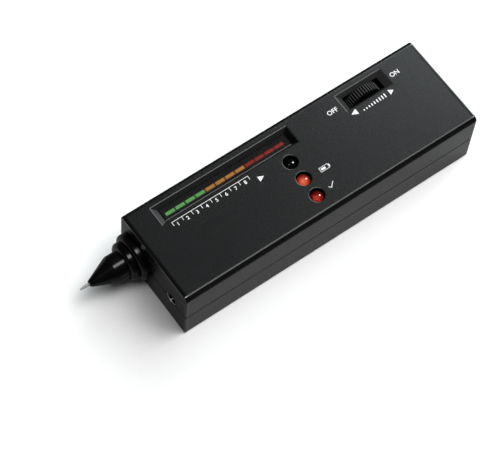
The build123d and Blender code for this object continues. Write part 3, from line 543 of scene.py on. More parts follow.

# %% [markdown]
# Inside, the plain plastic parts are matt and a shade lighter or darker than each other. One
# function makes such a finish from two colours, two roughnesses and the size of the grain. The
# grey finish of the smoked window's near rim, a painted line of light, is made the same way.

# %% Finishes: plain moulded and coated parts
def make_plain(name, dark, light, smooth, rough, grain_scale=3000.0, depth=0.01 * MM):
    """A matt part whose colour and roughness vary with its grain."""
    tree, shader, place = open_finish(name)
    grain = grained(tree, place, grain_scale)
    rub = rubbed(tree, place, 90.0, 0.2)
    shade = times(tree, maths(tree, "ADD", grain["Pits"], rub), 0.5)
    fill(tree, shader, {"Base Color": blend_colours(tree, shade, dark, light),
                        "Roughness": spread(tree, rub, rough, smooth),
                        "Normal": relief(tree, grain["Height"], depth, 0.6)})
    return tree, shader, place


for plain in (
        ("black_plastic", (0.009, 0.009, 0.010), (0.020, 0.020, 0.022), 0.35, 0.55),
        # The window's rim: grey, a painted line of light.
        ("window_rim_painted_light", grey(0.05), grey(0.07), 0.30, 0.40),
        ("can_metal", (0.03, 0.03, 0.05), (0.05, 0.05, 0.08), 0.30, 0.45),
        ("heater_body", (0.62, 0.60, 0.54), (0.82, 0.80, 0.74), 0.60, 0.85)):
    make_plain(*plain)

# %% [markdown]
# The wheel is dull black plastic whose ribs a thumb keeps polished, while the grooves between
# them stay dull. The rib tops are also painted a lighter grey, a painted highlight for the light
# that they catch. How far a point is from the wheel's axis tells one from the other, so one
# finish serves every rib.

# %% Finish: wheel plastic
def make_wheel_plastic():
    """Dull black plastic with polished rib tops, painted lighter as a painted highlight."""
    tree, shader, place = make_plain("wheel_plastic", grey(0.002), grey(0.006), 0.30, 0.45)
    low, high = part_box("volume_wheel")
    rim = (high.x - low.x) / 2
    offset = vectors(tree, "SUBTRACT", place, (low + high) / 2)
    distance = vectors(tree, "LENGTH", vectors(tree, "MULTIPLY", offset, (1, 0, 1)), result="Value")
    rib_polish_and_painted_highlight = rising(tree, distance, rim - 0.09 * MM, rim - 0.03 * MM)
    groove = shader.inputs["Base Color"].links[0].from_socket
    # The rib tops' lighter grey is a painted highlight; the coat on them is their polish.
    fill(tree, shader, {"Base Color": blend_colours(tree, rib_polish_and_painted_highlight, groove, (0.065, 0.065, 0.066)),
                        "Coat Weight": times(tree, rib_polish_and_painted_highlight, 0.2), "Coat Roughness": 0.3,
                        "Specular IOR Level": 0.05})


make_wheel_plastic()

# %% [markdown]
# The probe's cone and collar are polished black plastic, turned and then buffed: a deep black
# with clean reflections, in which only the faintest rings of the lathe are left.

# %% Finish: polished black
def make_gloss_black():
    """Deep black, nearly mirror smooth, with a trace of turning."""
    tree, shader, place = open_finish("gloss_black")
    rings = use_group(tree, tool_rings, {"Place": place, "Axis": (1.0, 0.0, 0.0), "Scale": 14000.0})
    rub = rubbed(tree, place, 160.0, 0.4)
    rough = maths(tree, "ADD", spread(tree, rub, 0.16, 0.20), spread(tree, rings["Rings"], 0.0, 0.03))
    fill(tree, shader, {"Base Color": blend_colours(tree, rub, grey(0.0008), grey(0.0016)),
                        "Roughness": rough,
                        "Normal": relief(tree, rings["Height"], 0.0004 * MM, 0.4)})


make_gloss_black()

# %% [markdown]
# The metals are the pin and its spring, zinc-plated screws, the bright socket mouth and contacts,
# and the turned brass of the nut and the guide tube. They differ in colour, in how polished they
# are and in how much tarnish they carry in patches, so one function makes them all.

# %% Finishes: metals
def make_metal(name, bright, tarnished, smooth, rough, ring_scale):
    """A turned or plated metal with tool rings and a little tarnish."""
    tree, shader, place = open_finish(name)
    rings = use_group(tree, tool_rings, {"Place": place, "Axis": (1.0, 0.3, 0.2), "Scale": ring_scale})
    rub = rubbed(tree, place, 220.0, 0.6)
    dull = maths(tree, "ADD", spread(tree, rub, rough, smooth), spread(tree, rings["Rings"], 0.0, 0.06))
    fill(tree, shader, {"Base Color": blend_colours(tree, rub, tarnished, bright), "Roughness": dull,
                        "Metallic": 1.0, "Normal": relief(tree, rings["Height"], 0.001 * MM, 0.5)})


for metal in (
        ("steel", (0.74, 0.73, 0.71), (0.50, 0.49, 0.47), 0.16, 0.30, 12000.0),
        ("screw_steel", (0.56, 0.57, 0.60), (0.36, 0.36, 0.38), 0.24, 0.42, 9000.0),
        ("plated_metal", (0.82, 0.81, 0.79), (0.60, 0.59, 0.56), 0.10, 0.22, 7000.0),
        ("socket_metal", (0.80, 0.80, 0.78), (0.66, 0.66, 0.64), 0.52, 0.60, 7000.0),
        ("brass", (0.80, 0.60, 0.27), (0.50, 0.34, 0.14), 0.20, 0.38, 9000.0)):
    make_metal(*metal)

# %% [markdown]
# A circuit board is glass laminate under a green lacquer. Copper tracks below the lacquer show as
# paler bands, and the lacquer itself is glossy. Tracks run on a square grid, so the place is
# snapped to the steps of that grid before noise decides where copper is.

# %% Finish: circuit board
grid_pitch = 1.27 * MM


def make_circuit_board():
    """Green lacquer over copper tracks."""
    tree, shader, place = open_finish("circuit_board")
    snapped = vectors(tree, "SNAP", place, (grid_pitch, grid_pitch, grid_pitch))
    tracks = rising(tree, noise(tree, snapped, 160.0, Detail=2.0), 0.5, 0.53)
    weave = grained(tree, place, 2500.0)
    lacquer = blend_colours(tree, tracks, (0.006, 0.055, 0.022), (0.018, 0.12, 0.045))
    lacquer = blend_colours(tree, times(tree, weave["Pits"], 0.2), lacquer, (0.03, 0.15, 0.07))
    height = maths(tree, "ADD", times(tree, tracks, 3.0), weave["Height"])
    fill(tree, shader, {"Base Color": lacquer, "Roughness": spread(tree, weave["Pits"], 0.22, 0.34),
                        "Normal": relief(tree, height, 0.01 * MM, 0.6)})


make_circuit_board()

# %% [markdown]
# Small resistors have a beige lacquer with coloured rings that tell their value. Each ring could
# be a face of its own, but the bodies all lie along the board, so bands across it mark them all.

# %% Finish: resistor lacquer
ring_pitch = 0.9 * MM


def make_resistor_coat():
    """Beige lacquer with value rings."""
    tree, shader, place = make_plain("resistor_coat", (0.50, 0.38, 0.22), (0.64, 0.50, 0.32),
                                     0.28, 0.42, 2500.0, 0.004 * MM)
    along = maths(tree, "SUBTRACT", axes_of(tree, place)["X"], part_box("resistors")[0].x)
    bands = maths(tree, "SINE", times(tree, along, tau / ring_pitch))
    lacquer = shader.inputs["Base Color"].links[0].from_socket
    lacquer = blend_colours(tree, rising(tree, bands, 0.55, 0.7), lacquer, (0.16, 0.05, 0.03))
    fill(tree, shader, {"Base Color": lacquer})


make_resistor_coat()

# %% [markdown]
# A nine-volt block wears a printed steel jacket. Here it is plain: dark enamel over most of its
# length and a copper-coloured end, as such batteries often are, with no words on it. A mask along
# the length parts the two colours, and also makes only the copper end look like metal.

# %% Finish: battery jacket
def make_battery_wrap():
    """Plain two-colour enamel on a steel jacket."""
    tree, shader, place = open_finish("battery_wrap")
    low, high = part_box("battery")
    share = rising(tree, axes_of(tree, place)["X"], low.x, high.x)
    end = falling(tree, share, 0.27, 0.275)
    rub = rubbed(tree, place, 60.0, 0.6)
    grain = grained(tree, place, 2200.0)
    dark = blend_colours(tree, rub, (0.016, 0.017, 0.020), (0.030, 0.031, 0.035))
    copper = blend_colours(tree, rub, (0.45, 0.19, 0.07), (0.62, 0.29, 0.12))
    fill(tree, shader, {"Base Color": blend_colours(tree, end, dark, copper),
                        "Metallic": times(tree, end, 0.85),
                        "Roughness": spread(tree, rub, 0.34, 0.22),
                        "Normal": relief(tree, grain["Height"], 0.004 * MM, 0.4)})


make_battery_wrap()

# %% [markdown]
# The window is a strip of smoked acrylic: it hides the parts below it and lets the lit segments
# through. Only its level face is coated and shows the light. A little dust and hairline marks blur
# the gloss.

# %% Finish: smoked window
def make_smoked_lens():
    """Dark see-through acrylic with faint dust."""
    tree, shader, place = open_finish("smoked_lens")
    facing = axes_of(tree, node(tree, "NewGeometry").outputs["True Normal"])
    fill(tree, shader, {"Base Color": (0.40, 0.41, 0.42, 1), "Transmission Weight": 1.0, "IOR": 1.49,
                        "Specular IOR Level": 0.15, "Coat Roughness": 0.2,
                        "Coat Weight": rising(tree, facing["Z"], 0.96, 0.995),
                        "Roughness": spread(tree, rubbed(tree, place, 120.0, 1.0), 0.005, 0.02)})


make_smoked_lens()

# %% [markdown]
# Each segment is a bar of milky coloured plastic with a light chip under its middle, so it glows
# most along its centre line and a little less at its ends. The bars stand in one row at an even
# pitch, and that pitch gives each point its place within its own bar.

# %% Finishes: lit segments
segment_pitch = 4.02 * MM
segment_length = 3.6 * MM
segment_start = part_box("green_segments")[0].x
segment_middle = middle("green_segments").y


def make_segment(name, skin, light, power):
    """Milky plastic, lit from below its middle."""
    tree, shader, place = open_finish(name)
    axes = axes_of(tree, place)
    steps = maths(tree, "DIVIDE", maths(tree, "SUBTRACT", axes["X"], segment_start), segment_pitch)
    within = times(tree, maths(tree, "FRACT", steps), segment_pitch / segment_length)
    to_end = maths(tree, "ABSOLUTE", maths(tree, "SUBTRACT", within, 0.5))
    to_side = maths(tree, "ABSOLUTE", maths(tree, "SUBTRACT", axes["Y"], segment_middle))
    ends = spread(tree, to_end, 1.0, 0.3, 0.46, 0.5)
    sides = spread(tree, to_side, 1.0, 0.06, 0.5 * MM, 0.68 * MM)
    grain = grained(tree, place, 2600.0)
    glow = times(tree, ends, sides, spread(tree, grain["Pits"], 0.9, 1.0))
    skin_in_pits = [0.8 * tint for tint in skin]
    fill(tree, shader, {"Emission Color": blend_colours(tree, glow, grey(0.0), light),
                        "Emission Strength": power,
                        "Base Color": blend_colours(tree, grain["Pits"], skin, skin_in_pits),
                        "Roughness": spread(tree, grain["Pits"], 0.25, 0.35),
                        "Normal": relief(tree, grain["Height"], 0.005 * MM, 0.5)})


for segment in (
        ("green_segment", (0.03, 0.16, 0.03), (0.31, 0.92, 0.26), 1.0),
        ("orange_segment", (0.20, 0.09, 0.02), (1.0, 0.43, 0.09), 1.15),
        ("red_segment", (0.16, 0.015, 0.012), (0.90, 0.065, 0.05), 0.75)):
    make_segment(*segment)

# %% [markdown]
# The three round lamps are tinted resin domes. The middle one burns: its chip and its small cup
# shine orange through red resin. The near one is weakly lit and mottled, and the far one is dark.
# The resin is clear and smooth, so it carries a sharp highlight, and the glow sits a little off
# the dome's middle, where the cup shows from this side. The resin's own colour is painted lighter
# near the glow and darker towards the rim, a painted light and shade from the chip.

# %% Finishes: the three lamps
lamp_radius = 2.5 * MM
glow_shift = Vector((-0.40, -0.45, 1.2)) * MM
halo_reach = 2.9 * MM
core_reach = 1.9 * MM


def make_lamp(name, part, resin, halo, core, power, mottle):
    """Tinted clear resin with a glow inside, its colour painted darker away from the glow."""
    tree, shader, place = open_finish(name)
    source = middle(part)
    source.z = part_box(part)[1].z - lamp_radius
    source += glow_shift
    wide, tight = [
        use_group(tree, inner_glow, {"Place": place, "Source": source, "Radius": reach,
                                     "Mottle": mottle})["Glow"]
        for reach in (halo_reach, core_reach)]
    light = blend_colours(tree, tight, blend_colours(tree, wide, grey(0.0), halo), core)
    # The resin's colour is painted lighter near the glow and darker towards the rim: painted light and
    # shade.
    skin = blend_colours(tree, wide, [0.4 * tint for tint in resin], resin)
    fill(tree, shader, {"Emission Color": light, "Emission Strength": power, "Base Color": skin,
                        "Roughness": spread(tree, wide, 0.05, 0.08), "Specular IOR Level": 0.25})


for lamp in (
        ("dark_lamp", "alert_lamp", grey(0.004), grey(0.0), grey(0.0), 0.0, 0.0),
        ("lit_lamp", "battery_lamp", (0.10, 0.012, 0.006), (0.75, 0.045, 0.02),
         (1.0, 0.30, 0.15), 1.0, 0.15),
        ("red_lamp", "ready_lamp", (0.08, 0.006, 0.004), (0.46, 0.014, 0.010),
         (0.80, 0.09, 0.06), 1.0, 0.75)):
    make_lamp(*lamp)

# %% [markdown]
# The marks are printed with white ink through a screen. A picture of the print could be laid over
# the top, but it would blur from near by, so the ink will be thin pieces and only needs a finish
# here: matt white, a little thinner in places.

# %% Finish: white ink
def make_white_ink():
    """Matt white screen print."""
    tree, shader, place = open_finish("white_ink")
    cover = grained(tree, place, 3500.0)
    fill(tree, shader, {"Base Color": blend_colours(tree, cover["Pits"], grey(0.74), grey(0.86)),
                        "Roughness": spread(tree, cover["Pits"], 0.5, 0.62),
                        "Normal": relief(tree, cover["Height"], 0.003 * MM, 0.5)})


make_white_ink()

# %% [markdown]
# Every part of the frame is listed with the finish that it has on the real tester. The parts that
# stay as they come, such as the shells and all that is inside, only need that finish.

# %% Give every part of the frame its finish
for row in frame["record"]["subparts"]:
    part = frame["nodes"][row["node"]]
    part.data.materials.clear()
    part.data.materials.append(finishes[row["material_slot"]])

# %% [markdown]
# The forms that a moulded or turned part shows best are made again here with finer rounding.
# Most are round, so one helper turns an outline about an axis, as a lathe does, and a second one
# softens chosen rings. A third closes the mesh, keeps its sharp edges sharp, joins the piece to
# the body that it moves with and hides the part that it stands for.

# %% Helpers for pieces
weld = 0.0005 * MM
smooth_below = radians(35)
lathe_steps = 96
AXES = {"X": (Vector((1, 0, 0)), Vector((0, 0, 1))),
        "Y": (Vector((0, 1, 0)), Vector((0, 0, 1))),
        "Z": (Vector((0, 0, 1)), Vector((1, 0, 0)))}


def turn_outline(outline, axis, centre, steps=lathe_steps):
    """Turn points of (place along the axis, radius) about an axis through a centre.

    An outline that starts off the axis is closed into a loop first, and gives a ring.
    """
    along, outward = AXES[axis]
    origin = centre - along * centre.dot(along)
    mesh = bmesh.new()
    corners = [mesh.verts.new(origin + along * place + outward * radius) for place, radius in outline]
    sides = [mesh.edges.new(pair) for pair in zip(corners, corners[1:])]
    if outline[0][1] > 0:
        sides.append(mesh.edges.new((corners[-1], corners[0])))
    bmesh.ops.spin(mesh, geom=corners + sides, cent=origin, axis=along, angle=tau, steps=steps,
                   use_merge=True)
    bmesh.ops.remove_doubles(mesh, verts=mesh.verts, dist=weld)
    bmesh.ops.recalc_face_normals(mesh, faces=mesh.faces)
    return mesh


def soften_ring(mesh, axis, centre, place, radius, width, segments):
    """Round the ring of edges at one place and radius of a turned piece."""
    along = AXES[axis][0]
    level = centre.dot(along)

    def on_ring(point):
        from_centre = point.co - centre
        away = from_centre - along * from_centre.dot(along)
        return abs(level + from_centre.dot(along) - place) < weld and abs(away.length - radius) < weld

    ring = [edge for edge in mesh.edges if all(on_ring(end) for end in edge.verts)]
    bmesh.ops.bevel(mesh, geom=ring, offset=width, segments=segments, profile=0.5,
                    affect="EDGES", material=-1)


def add_piece(name, mesh, finish, body, part=None, crease=smooth_below):
    """Close a mesh into a piece, give it its finish and join it to its body."""
    bmesh.ops.remove_doubles(mesh, verts=mesh.verts, dist=weld)
    bmesh.ops.recalc_face_normals(mesh, faces=mesh.faces)
    for face in mesh.faces:
        face.smooth = True
    for edge in mesh.edges:
        edge.smooth = edge.is_manifold and edge.calc_face_angle() < crease
    open_edges = sum(edge.is_boundary for edge in mesh.edges)
    data = bpy.data.meshes.new(name)
    mesh.to_mesh(data)
    mesh.free()
    piece = bpy.data.objects.new(name, data)
    bpy.context.scene.collection.objects.link(piece)
    data.materials.append(finish)
    even = piece.modifiers.new("even_shading", "WEIGHTED_NORMAL")
    even.keep_sharp = True
    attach(piece, body)
    if part:
        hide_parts(part)
    print(name, "faces:", len(data.polygons), "open edges:", open_edges)
    return piece


print("helpers for pieces are ready")

# %% [markdown]
# The collar is a broad ring with a full round in front, where it meets the smaller ring of the
# cone. Behind it a narrower neck goes through the wall of the housing. Two tubes could be set
# behind each other, but turning the whole outline gives ring, neck and bore as one closed piece.
# Its two rims are softened after the turning, as a moulder would round them.

# %% Piece: collar of the probe
probe_axis = middle("guide_tube")
collar_low, collar_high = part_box("probe_collar")
nose_low, nose_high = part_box("nose_cone")
wall_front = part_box("top_shell")[0].x
collar_radius = (collar_high.z - collar_low.z) / 2
neck_radius = 4.5 * MM
cone_neck_radius = 3.2 * MM
cone_neck_rear = nose_high.x
tube_hole_radius = 1.95 * MM
sliding_gap = 0.05 * MM
pocket_floor = cone_neck_rear + 8 * sliding_gap
front_round = 1.6 * MM
rear_round = 0.5 * MM
fine_round = 0.12 * MM

collar = turn_outline([
    (collar_low.x, cone_neck_radius + sliding_gap), (collar_low.x, collar_radius),
    (wall_front, collar_radius), (wall_front, neck_radius), (collar_high.x, neck_radius),
    (collar_high.x, tube_hole_radius), (pocket_floor, tube_hole_radius),
    (pocket_floor, cone_neck_radius + sliding_gap)], "X", probe_axis)
soften_ring(collar, "X", probe_axis, collar_low.x, collar_radius, front_round, segments=12)
soften_ring(collar, "X", probe_axis, wall_front, collar_radius, rear_round, segments=5)
add_piece("collar_ring", collar, finishes["gloss_black"], "case", "probe_collar")

# %% [markdown]
# The cone is one turned part: a rounded ring, a short barrel, then a straight cone with a flat
# tip that the pin comes out of. Turned in one go it has no hidden walls between its stretches.
# The corner between barrel and cone is just softened, so it catches a short bright arc.

# %% Piece: cone of the probe
ring_radius = (nose_high.z - nose_low.z) / 2
ring_front = collar_low.x - 2.8 * MM
barrel_radius = 5.0 * MM
barrel_front = ring_front - 4.0 * MM
barrel_round = 0.35 * MM
tip_radius = 1.1 * MM
pin_hole_radius = 0.52 * MM
pin_stop = nose_low.x + 4.75 * MM

cone = turn_outline([
    (nose_low.x, pin_hole_radius), (nose_low.x, tip_radius), (barrel_front, barrel_radius),
    (ring_front, barrel_radius), (ring_front, ring_radius), (collar_low.x, ring_radius),
    (collar_low.x, cone_neck_radius), (cone_neck_rear, cone_neck_radius),
    (cone_neck_rear, tube_hole_radius), (pin_stop, tube_hole_radius),
    (pin_stop, pin_hole_radius)], "X", probe_axis)
for place, radius, width, segments in (
        (ring_front, ring_radius, front_round, 12), (collar_low.x, ring_radius, rear_round, 5),
        (barrel_front, barrel_radius, barrel_round, 5), (nose_low.x, tip_radius, fine_round, 3)):
    soften_ring(cone, "X", probe_axis, place, radius, width, segments)
add_piece("probe_cone", cone, finishes["gloss_black"], "case", "nose_cone")

# %% [markdown]
# The test pin is a thin ground wire with a blunt point. A shoulder inside the cone stops it, and
# a spring behind pushes it out. It moves by itself, so it is turned as a piece of its own and
# rides on its own body. Half the steps are enough for something this thin.

# %% Piece: test pin
pin_low, pin_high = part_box("probe_pin")
pin_radius = 0.47 * MM
pin_point_radius = 0.2 * MM
pin_taper = 1.6 * MM
pin_taper_round = 0.3 * MM
shoulder_radius = (pin_high.z - pin_low.z) / 2
pin = turn_outline([
    (pin_low.x, 0), (pin_low.x, pin_point_radius), (pin_low.x + pin_taper, pin_radius),
    (pin_stop, pin_radius), (pin_stop, shoulder_radius), (pin_high.x, shoulder_radius),
    (pin_high.x, 0)], "X", probe_axis, steps=48)
for place, radius, width, segments in (
        (pin_low.x, pin_point_radius, fine_round, 4),
        (pin_low.x + pin_taper, pin_radius, pin_taper_round, 3),
        (pin_high.x, shoulder_radius, fine_round, 3)):
    soften_ring(pin, "X", probe_axis, place, radius, width, segments)
add_piece("test_pin", pin, finishes["steel"], "probe_tip", "probe_pin")

# %% [markdown]
# The power socket is a sleeve with a deep countersink that guides the plug. Only the lip of the
# countersink is bare metal, worn satin by the plug, and its lower side catches the light as a thin
# crescent. The flush rim, the rest of the countersink and the bore are black. Two sleeves inside
# each other could carry the two finishes, but one turned piece has no gap between them: each of
# its faces takes one finish or the other by where it lies.

# %% Piece: socket mouth
socket_axis = middle("jack_sleeve")
socket_low, socket_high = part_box("jack_sleeve")
socket_radius = (socket_high.z - socket_low.z) / 2
mouth_radius = 2.45 * MM
mouth_depth = 1.1 * MM
bore_radius = 2.05 * MM
lip_depth = 0.35 * MM
lip_radius = mouth_radius + (bore_radius - mouth_radius) * lip_depth / mouth_depth
lip_round = 0.06 * MM
bore_round = 0.1 * MM
step_radius = 2.4 * MM
step_place = socket_low.x + 1.8 * MM
mouth = turn_outline([
    (socket_low.x, mouth_radius), (socket_low.x, socket_radius), (step_place, socket_radius),
    (step_place, step_radius), (socket_high.x, step_radius), (socket_high.x, bore_radius),
    (socket_low.x + mouth_depth, bore_radius), (socket_low.x + lip_depth, lip_radius)],
    "X", socket_axis)
soften_ring(mouth, "X", socket_axis, socket_low.x, mouth_radius, lip_round, segments=3)
soften_ring(mouth, "X", socket_axis, socket_low.x + mouth_depth, bore_radius, bore_round, segments=3)
for face in mouth.faces:
    spot = face.calc_center_median()
    outward = Vector((0, spot.y - socket_axis.y, spot.z - socket_axis.z)).length
    on_lip = outward < mouth_radius and spot.x < socket_low.x + lip_depth
    face.material_index = int(not on_lip)
socket = add_piece("socket_mouth", mouth, finishes["socket_metal"], "case", "jack_sleeve")
socket.data.materials.append(finishes["gloss_black"])

# %% [markdown]
# The lamps are ordinary round resin lamps: a flange that sits on the board, a straight body and
# a domed end that stays just below the top of the housing. Half a ball on a cylinder would show a
# seam in the highlight. Turned from one outline, the dome runs smoothly into the body. The
# outline's round stretch is a quarter circle, worked out from the lamp's radius.

# %% Pieces: three round lamps
lamp_flange_height = 1.0 * MM
dome_points = 14
for part, slot in (("alert_lamp", "dark_lamp"), ("battery_lamp", "lit_lamp"), ("ready_lamp", "red_lamp")):
    low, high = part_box(part)
    flange_radius = (high.x - low.x) / 2
    dome_base = high.z - lamp_radius
    outline = [(low.z, 0), (low.z, flange_radius), (low.z + lamp_flange_height, flange_radius),
               (low.z + lamp_flange_height, lamp_radius)]
    for point in range(dome_points + 1):
        turn = point / dome_points * pi / 2
        outline.append((dome_base + lamp_radius * sin(turn), lamp_radius * max(cos(turn), 0.0)))
    outline[-1] = (high.z, 0)
    lamp = turn_outline(outline, "Z", middle(part), steps=64)
    flange_top = low.z + lamp_flange_height
    soften_ring(lamp, "Z", middle(part), flange_top, flange_radius, fine_round, segments=2)
    add_piece(part + "_dome", lamp, finishes[slot], "case", part)

# %% [markdown]
# In the picture each lamp carries one sharp dot, a faint one and no other reflection. A
# photographer holds two small cards that only the lamps can see, and flags the panels off them.
# Light linking does the same: the cards get the lamps as their only receivers, and the two panels
# leave the lamps out.

# %% Flag the lamps
lamps = [piece for piece in bpy.context.scene.objects if piece.name.endswith("_lamp_dome")]
for panel, state in (("bright_card", "INCLUDE"), ("small_card", "INCLUDE"),
                     ("overhead_panel", "EXCLUDE"), ("rear_panel", "EXCLUDE")):
    receivers = bpy.data.collections.new(panel + "_receivers")
    for lamp in lamps:
        receivers.objects.link(lamp)
    for member in receivers.collection_objects:
        member.light_linking.link_state = state
    bpy.data.objects[panel].light_linking.receiver_collection = receivers
    print(panel, state.lower() + "s", len(lamps), "lamps")

# %% [markdown]
# The thumbwheel is a moulded disc with forty-two ribs for the thumb. Forty-two small blocks could
# be set around it, but they would cut into the disc. Instead it starts as a plain turned ring with
# two flats for each rib. Every second flat is pushed outwards with sloping flanks, as the mould
# would draw it, and then its edges are rounded, all in one closed skin.

# %% Piece: thumbwheel
wheel_axis = middle("volume_wheel")
wheel_low, wheel_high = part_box("volume_wheel")
rib_count = 42
rib_depth = 0.45 * MM
rib_flank = 0.12 * MM
rib_round = 0.08 * MM
wheel_radius = (wheel_high.x - wheel_low.x) / 2 - rib_depth
shaft_radius = 1.5 * MM
wheel = turn_outline([
    (wheel_low.y, shaft_radius), (wheel_low.y, wheel_radius), (wheel_high.y, wheel_radius),
    (wheel_high.y, shaft_radius)], "Y", wheel_axis, steps=2 * rib_count)


def flat_angle(face):
    """Where a flat of the wheel's rim stands around the axis."""
    away = face.calc_center_median() - wheel_axis
    return Vector((away.x, away.z)).angle_signed(Vector((1, 0)))


rim = [face for face in wheel.faces
       if abs(face.normal.y) < 0.5 and (face.calc_center_median() - wheel_axis).length > wheel_radius / 2]
rim.sort(key=flat_angle)
tops = rim[::2]
bmesh.ops.inset_individual(wheel, faces=tops, thickness=rib_flank, depth=rib_depth,
                           use_even_offset=True)
edges = list({edge for face in tops for edge in face.edges})
bmesh.ops.bevel(wheel, geom=edges, offset=rib_round, segments=3, profile=0.5, affect="EDGES",
                material=-1)
add_piece("thumbwheel", wheel, finishes["wheel_plastic"], "wheel", "volume_wheel")

# %% [markdown]
# The window is a strip of acrylic below the opening with a pad that stands up into it: a box whose
# top is inset and lifted. The pad's rim slopes so little that it only shows as a thin line. That
# line is painted: grey on the side of the rim that faces the camera, a painted line of light, and
# black at the ends, a painted shade where the opening shades it, so these faces get finishes of
# their own.

# %% Piece: window strip
pad_height = 0.3 * MM
pad_inset = 0.94 * MM
pad_rim_width = 0.2 * MM
pad_rim_depth = 0.06 * MM
pad_crease = radians(5)
strip_size = window_high - window_low - Vector((0, 0, pad_height))
lens = bmesh.new()
bmesh.ops.create_cube(lens, size=1.0)
bmesh.ops.scale(lens, vec=strip_size, verts=lens.verts)
bmesh.ops.translate(lens, vec=window_low + strip_size / 2, verts=lens.verts)
crown = max(lens.faces, key=lambda face: face.calc_center_median().z)
bmesh.ops.inset_region(lens, faces=[crown], thickness=pad_inset, depth=0.0, use_even_offset=True)
crown = bmesh.ops.extrude_discrete_faces(lens, faces=[crown])["faces"][0]
bmesh.ops.translate(lens, vec=(0, 0, pad_height - pad_rim_depth), verts=crown.verts)
bmesh.ops.inset_region(lens, faces=[crown], thickness=pad_rim_width, depth=pad_rim_depth,
                       use_even_offset=True)
lens.normal_update()
for face in lens.faces:
    # Near rim faces get a painted line of light, the rim's ends a painted shade.
    on_rim = 0.9 < face.normal.z < 0.99
    if on_rim and face.normal.y < -0.1:
        face.material_index = 1
    elif on_rim and abs(face.normal.x) > 0.1:
        face.material_index = 2
window = add_piece("window_strip", lens, finishes["smoked_lens"], "case", "display_lens",
                   crease=pad_crease)
window.data.materials.append(finishes["window_rim_painted_light"])
window.data.materials.append(finishes["gloss_black"])

# %% [markdown]
# The window is flat and would mirror the whole rear panel. So it joins the lamps as a piece that
# this panel leaves out, and the dim grey card, which shines for nothing else, takes its place.

# %% Shade the window
shaded_pieces = bpy.data.collections["rear_panel_receivers"]
shaded_pieces.objects.link(window)
shaded_pieces.collection_objects[-1].light_linking.link_state = "EXCLUDE"
window_only = bpy.data.collections.new("grey_card_receivers")
window_only.objects.link(window)
bpy.data.objects["grey_card"].light_linking.receiver_collection = window_only

# %% [markdown]
# The print on the top is a layer of ink a few hundredths of a millimetre thick. Bars, ticks and
# arrows are flat patches that are raised by that much. Letters and figures come from the plain
# built-in face: a text is made a mesh, moved to its place and joined to the patches.

# %% Helpers for print
ink_thickness = 0.03 * MM
ink_low = case_high.z
stroke = 0.16 * MM
cap_share = 0.73
bold_share = 0.008


def at(x, y):
    """A point of the print, from millimetres on the top face."""
    return Vector((x, y)) * MM


def print_shape(ink, corners):
    """Lay one flat patch of ink with straight sides."""
    base = [ink.verts.new((corner.x, corner.y, ink_low)) for corner in corners]
    patch = ink.faces.new(base)
    raised = bmesh.ops.extrude_face_region(ink, geom=[patch])["geom"]
    lifted = [item for item in raised if isinstance(item, bmesh.types.BMVert)]
    bmesh.ops.translate(ink, vec=(0, 0, ink_thickness), verts=lifted)


def print_line(ink, start, end, width=stroke):
    """Lay a straight stroke of ink."""
    along = (end - start).normalized() * width / 2
    side = Vector((-along.y, along.x))
    first, last = start - along, end + along
    print_shape(ink, (first - side, last - side, last + side, first + side))


def print_words(ink, words, centre, height):
    """Lay letters or figures whose capitals have the given height."""
    curve = bpy.data.curves.new("words", "FONT")
    curve.body = words
    curve.size = height / cap_share
    curve.align_x, curve.align_y = "CENTER", "CENTER"
    curve.extrude = ink_thickness / 2
    curve.offset = curve.size * bold_share
    holder = bpy.data.objects.new("words", curve)
    flat = bpy.data.meshes.new_from_object(holder)
    flat.transform(Matrix.Translation((centre.x, centre.y, ink_low + ink_thickness / 2)))
    ink.from_mesh(flat)
    bpy.data.objects.remove(holder)
    bpy.data.curves.remove(curve)
    bpy.data.meshes.remove(flat)


print("helpers for print are ready")

# %% [markdown]
# The scale along the window is a line with nine ticks, which part it into eight steps, with a
# figure below each step and a small pointer behind the last one. Two loops place the ticks and
# the figures, each at an even pitch.

# %% Piece: scale along the window
scale_start = at(-47.74, 7.20)
scale_pitch = 3.81 * MM
scale_steps = 8
tick_length = 1.38 * MM
figure_shift = at(1.55, -1.58)
figure_pitch = 3.86 * MM
figure_height = 1.4 * MM
scale_ink = bmesh.new()
print_line(scale_ink, scale_start, scale_start + Vector((scale_pitch * scale_steps, 0)))
for step in range(scale_steps + 1):
    top = scale_start + Vector((scale_pitch * step, -stroke))
    print_line(scale_ink, top, top - Vector((0, tick_length - stroke)))
for step in range(scale_steps):
    centre = scale_start + figure_shift + Vector((figure_pitch * step, 0))
    print_words(scale_ink, str(step + 1), centre, figure_height)
print_shape(scale_ink, (at(-14.85, 5.15), at(-14.87, 3.11), at(-12.67, 4.25)))
add_piece("scale_print", scale_ink, finishes["white_ink"], "case")

# %% [markdown]
# Beside the wheel the print names the two ends of its travel. An arrow stands at each end, and
# between them rising bars mean that it gets louder. A loop makes each bar a little taller.

# %% Piece: print around the wheel
switch_ink = bmesh.new()
off_place, on_place = at(20.85, 11.0), at(47.45, 11.15)
word_height = 1.75 * MM
loudness_bars = 9
first_bar = at(30.2, 5.45)
bar_pitch = 1.15 * MM
bar_width = 0.4 * MM
bar_low = 0.15 * MM
bar_rise = 0.14 * MM
print_words(switch_ink, "OFF", off_place, word_height)
print_words(switch_ink, "ON", on_place, word_height)
print_shape(switch_ink, (at(25.46, 6.45), at(27.83, 5.33), at(27.83, 7.60)))
print_shape(switch_ink, (at(43.13, 6.22), at(41.35, 7.30), at(41.35, 5.13)))
for bar in range(loudness_bars):
    foot = first_bar + Vector((bar_pitch * bar, 0))
    print_line(switch_ink, foot, foot + Vector((0, bar_low + bar_rise * bar)), bar_width)
add_piece("switch_print", switch_ink, finishes["white_ink"], "case")

# %% [markdown]
# A small sign tells what each lit lamp means: a battery, as an outline with a bar in it, and a
# tick. The outline is four strokes, each from one corner to the next.

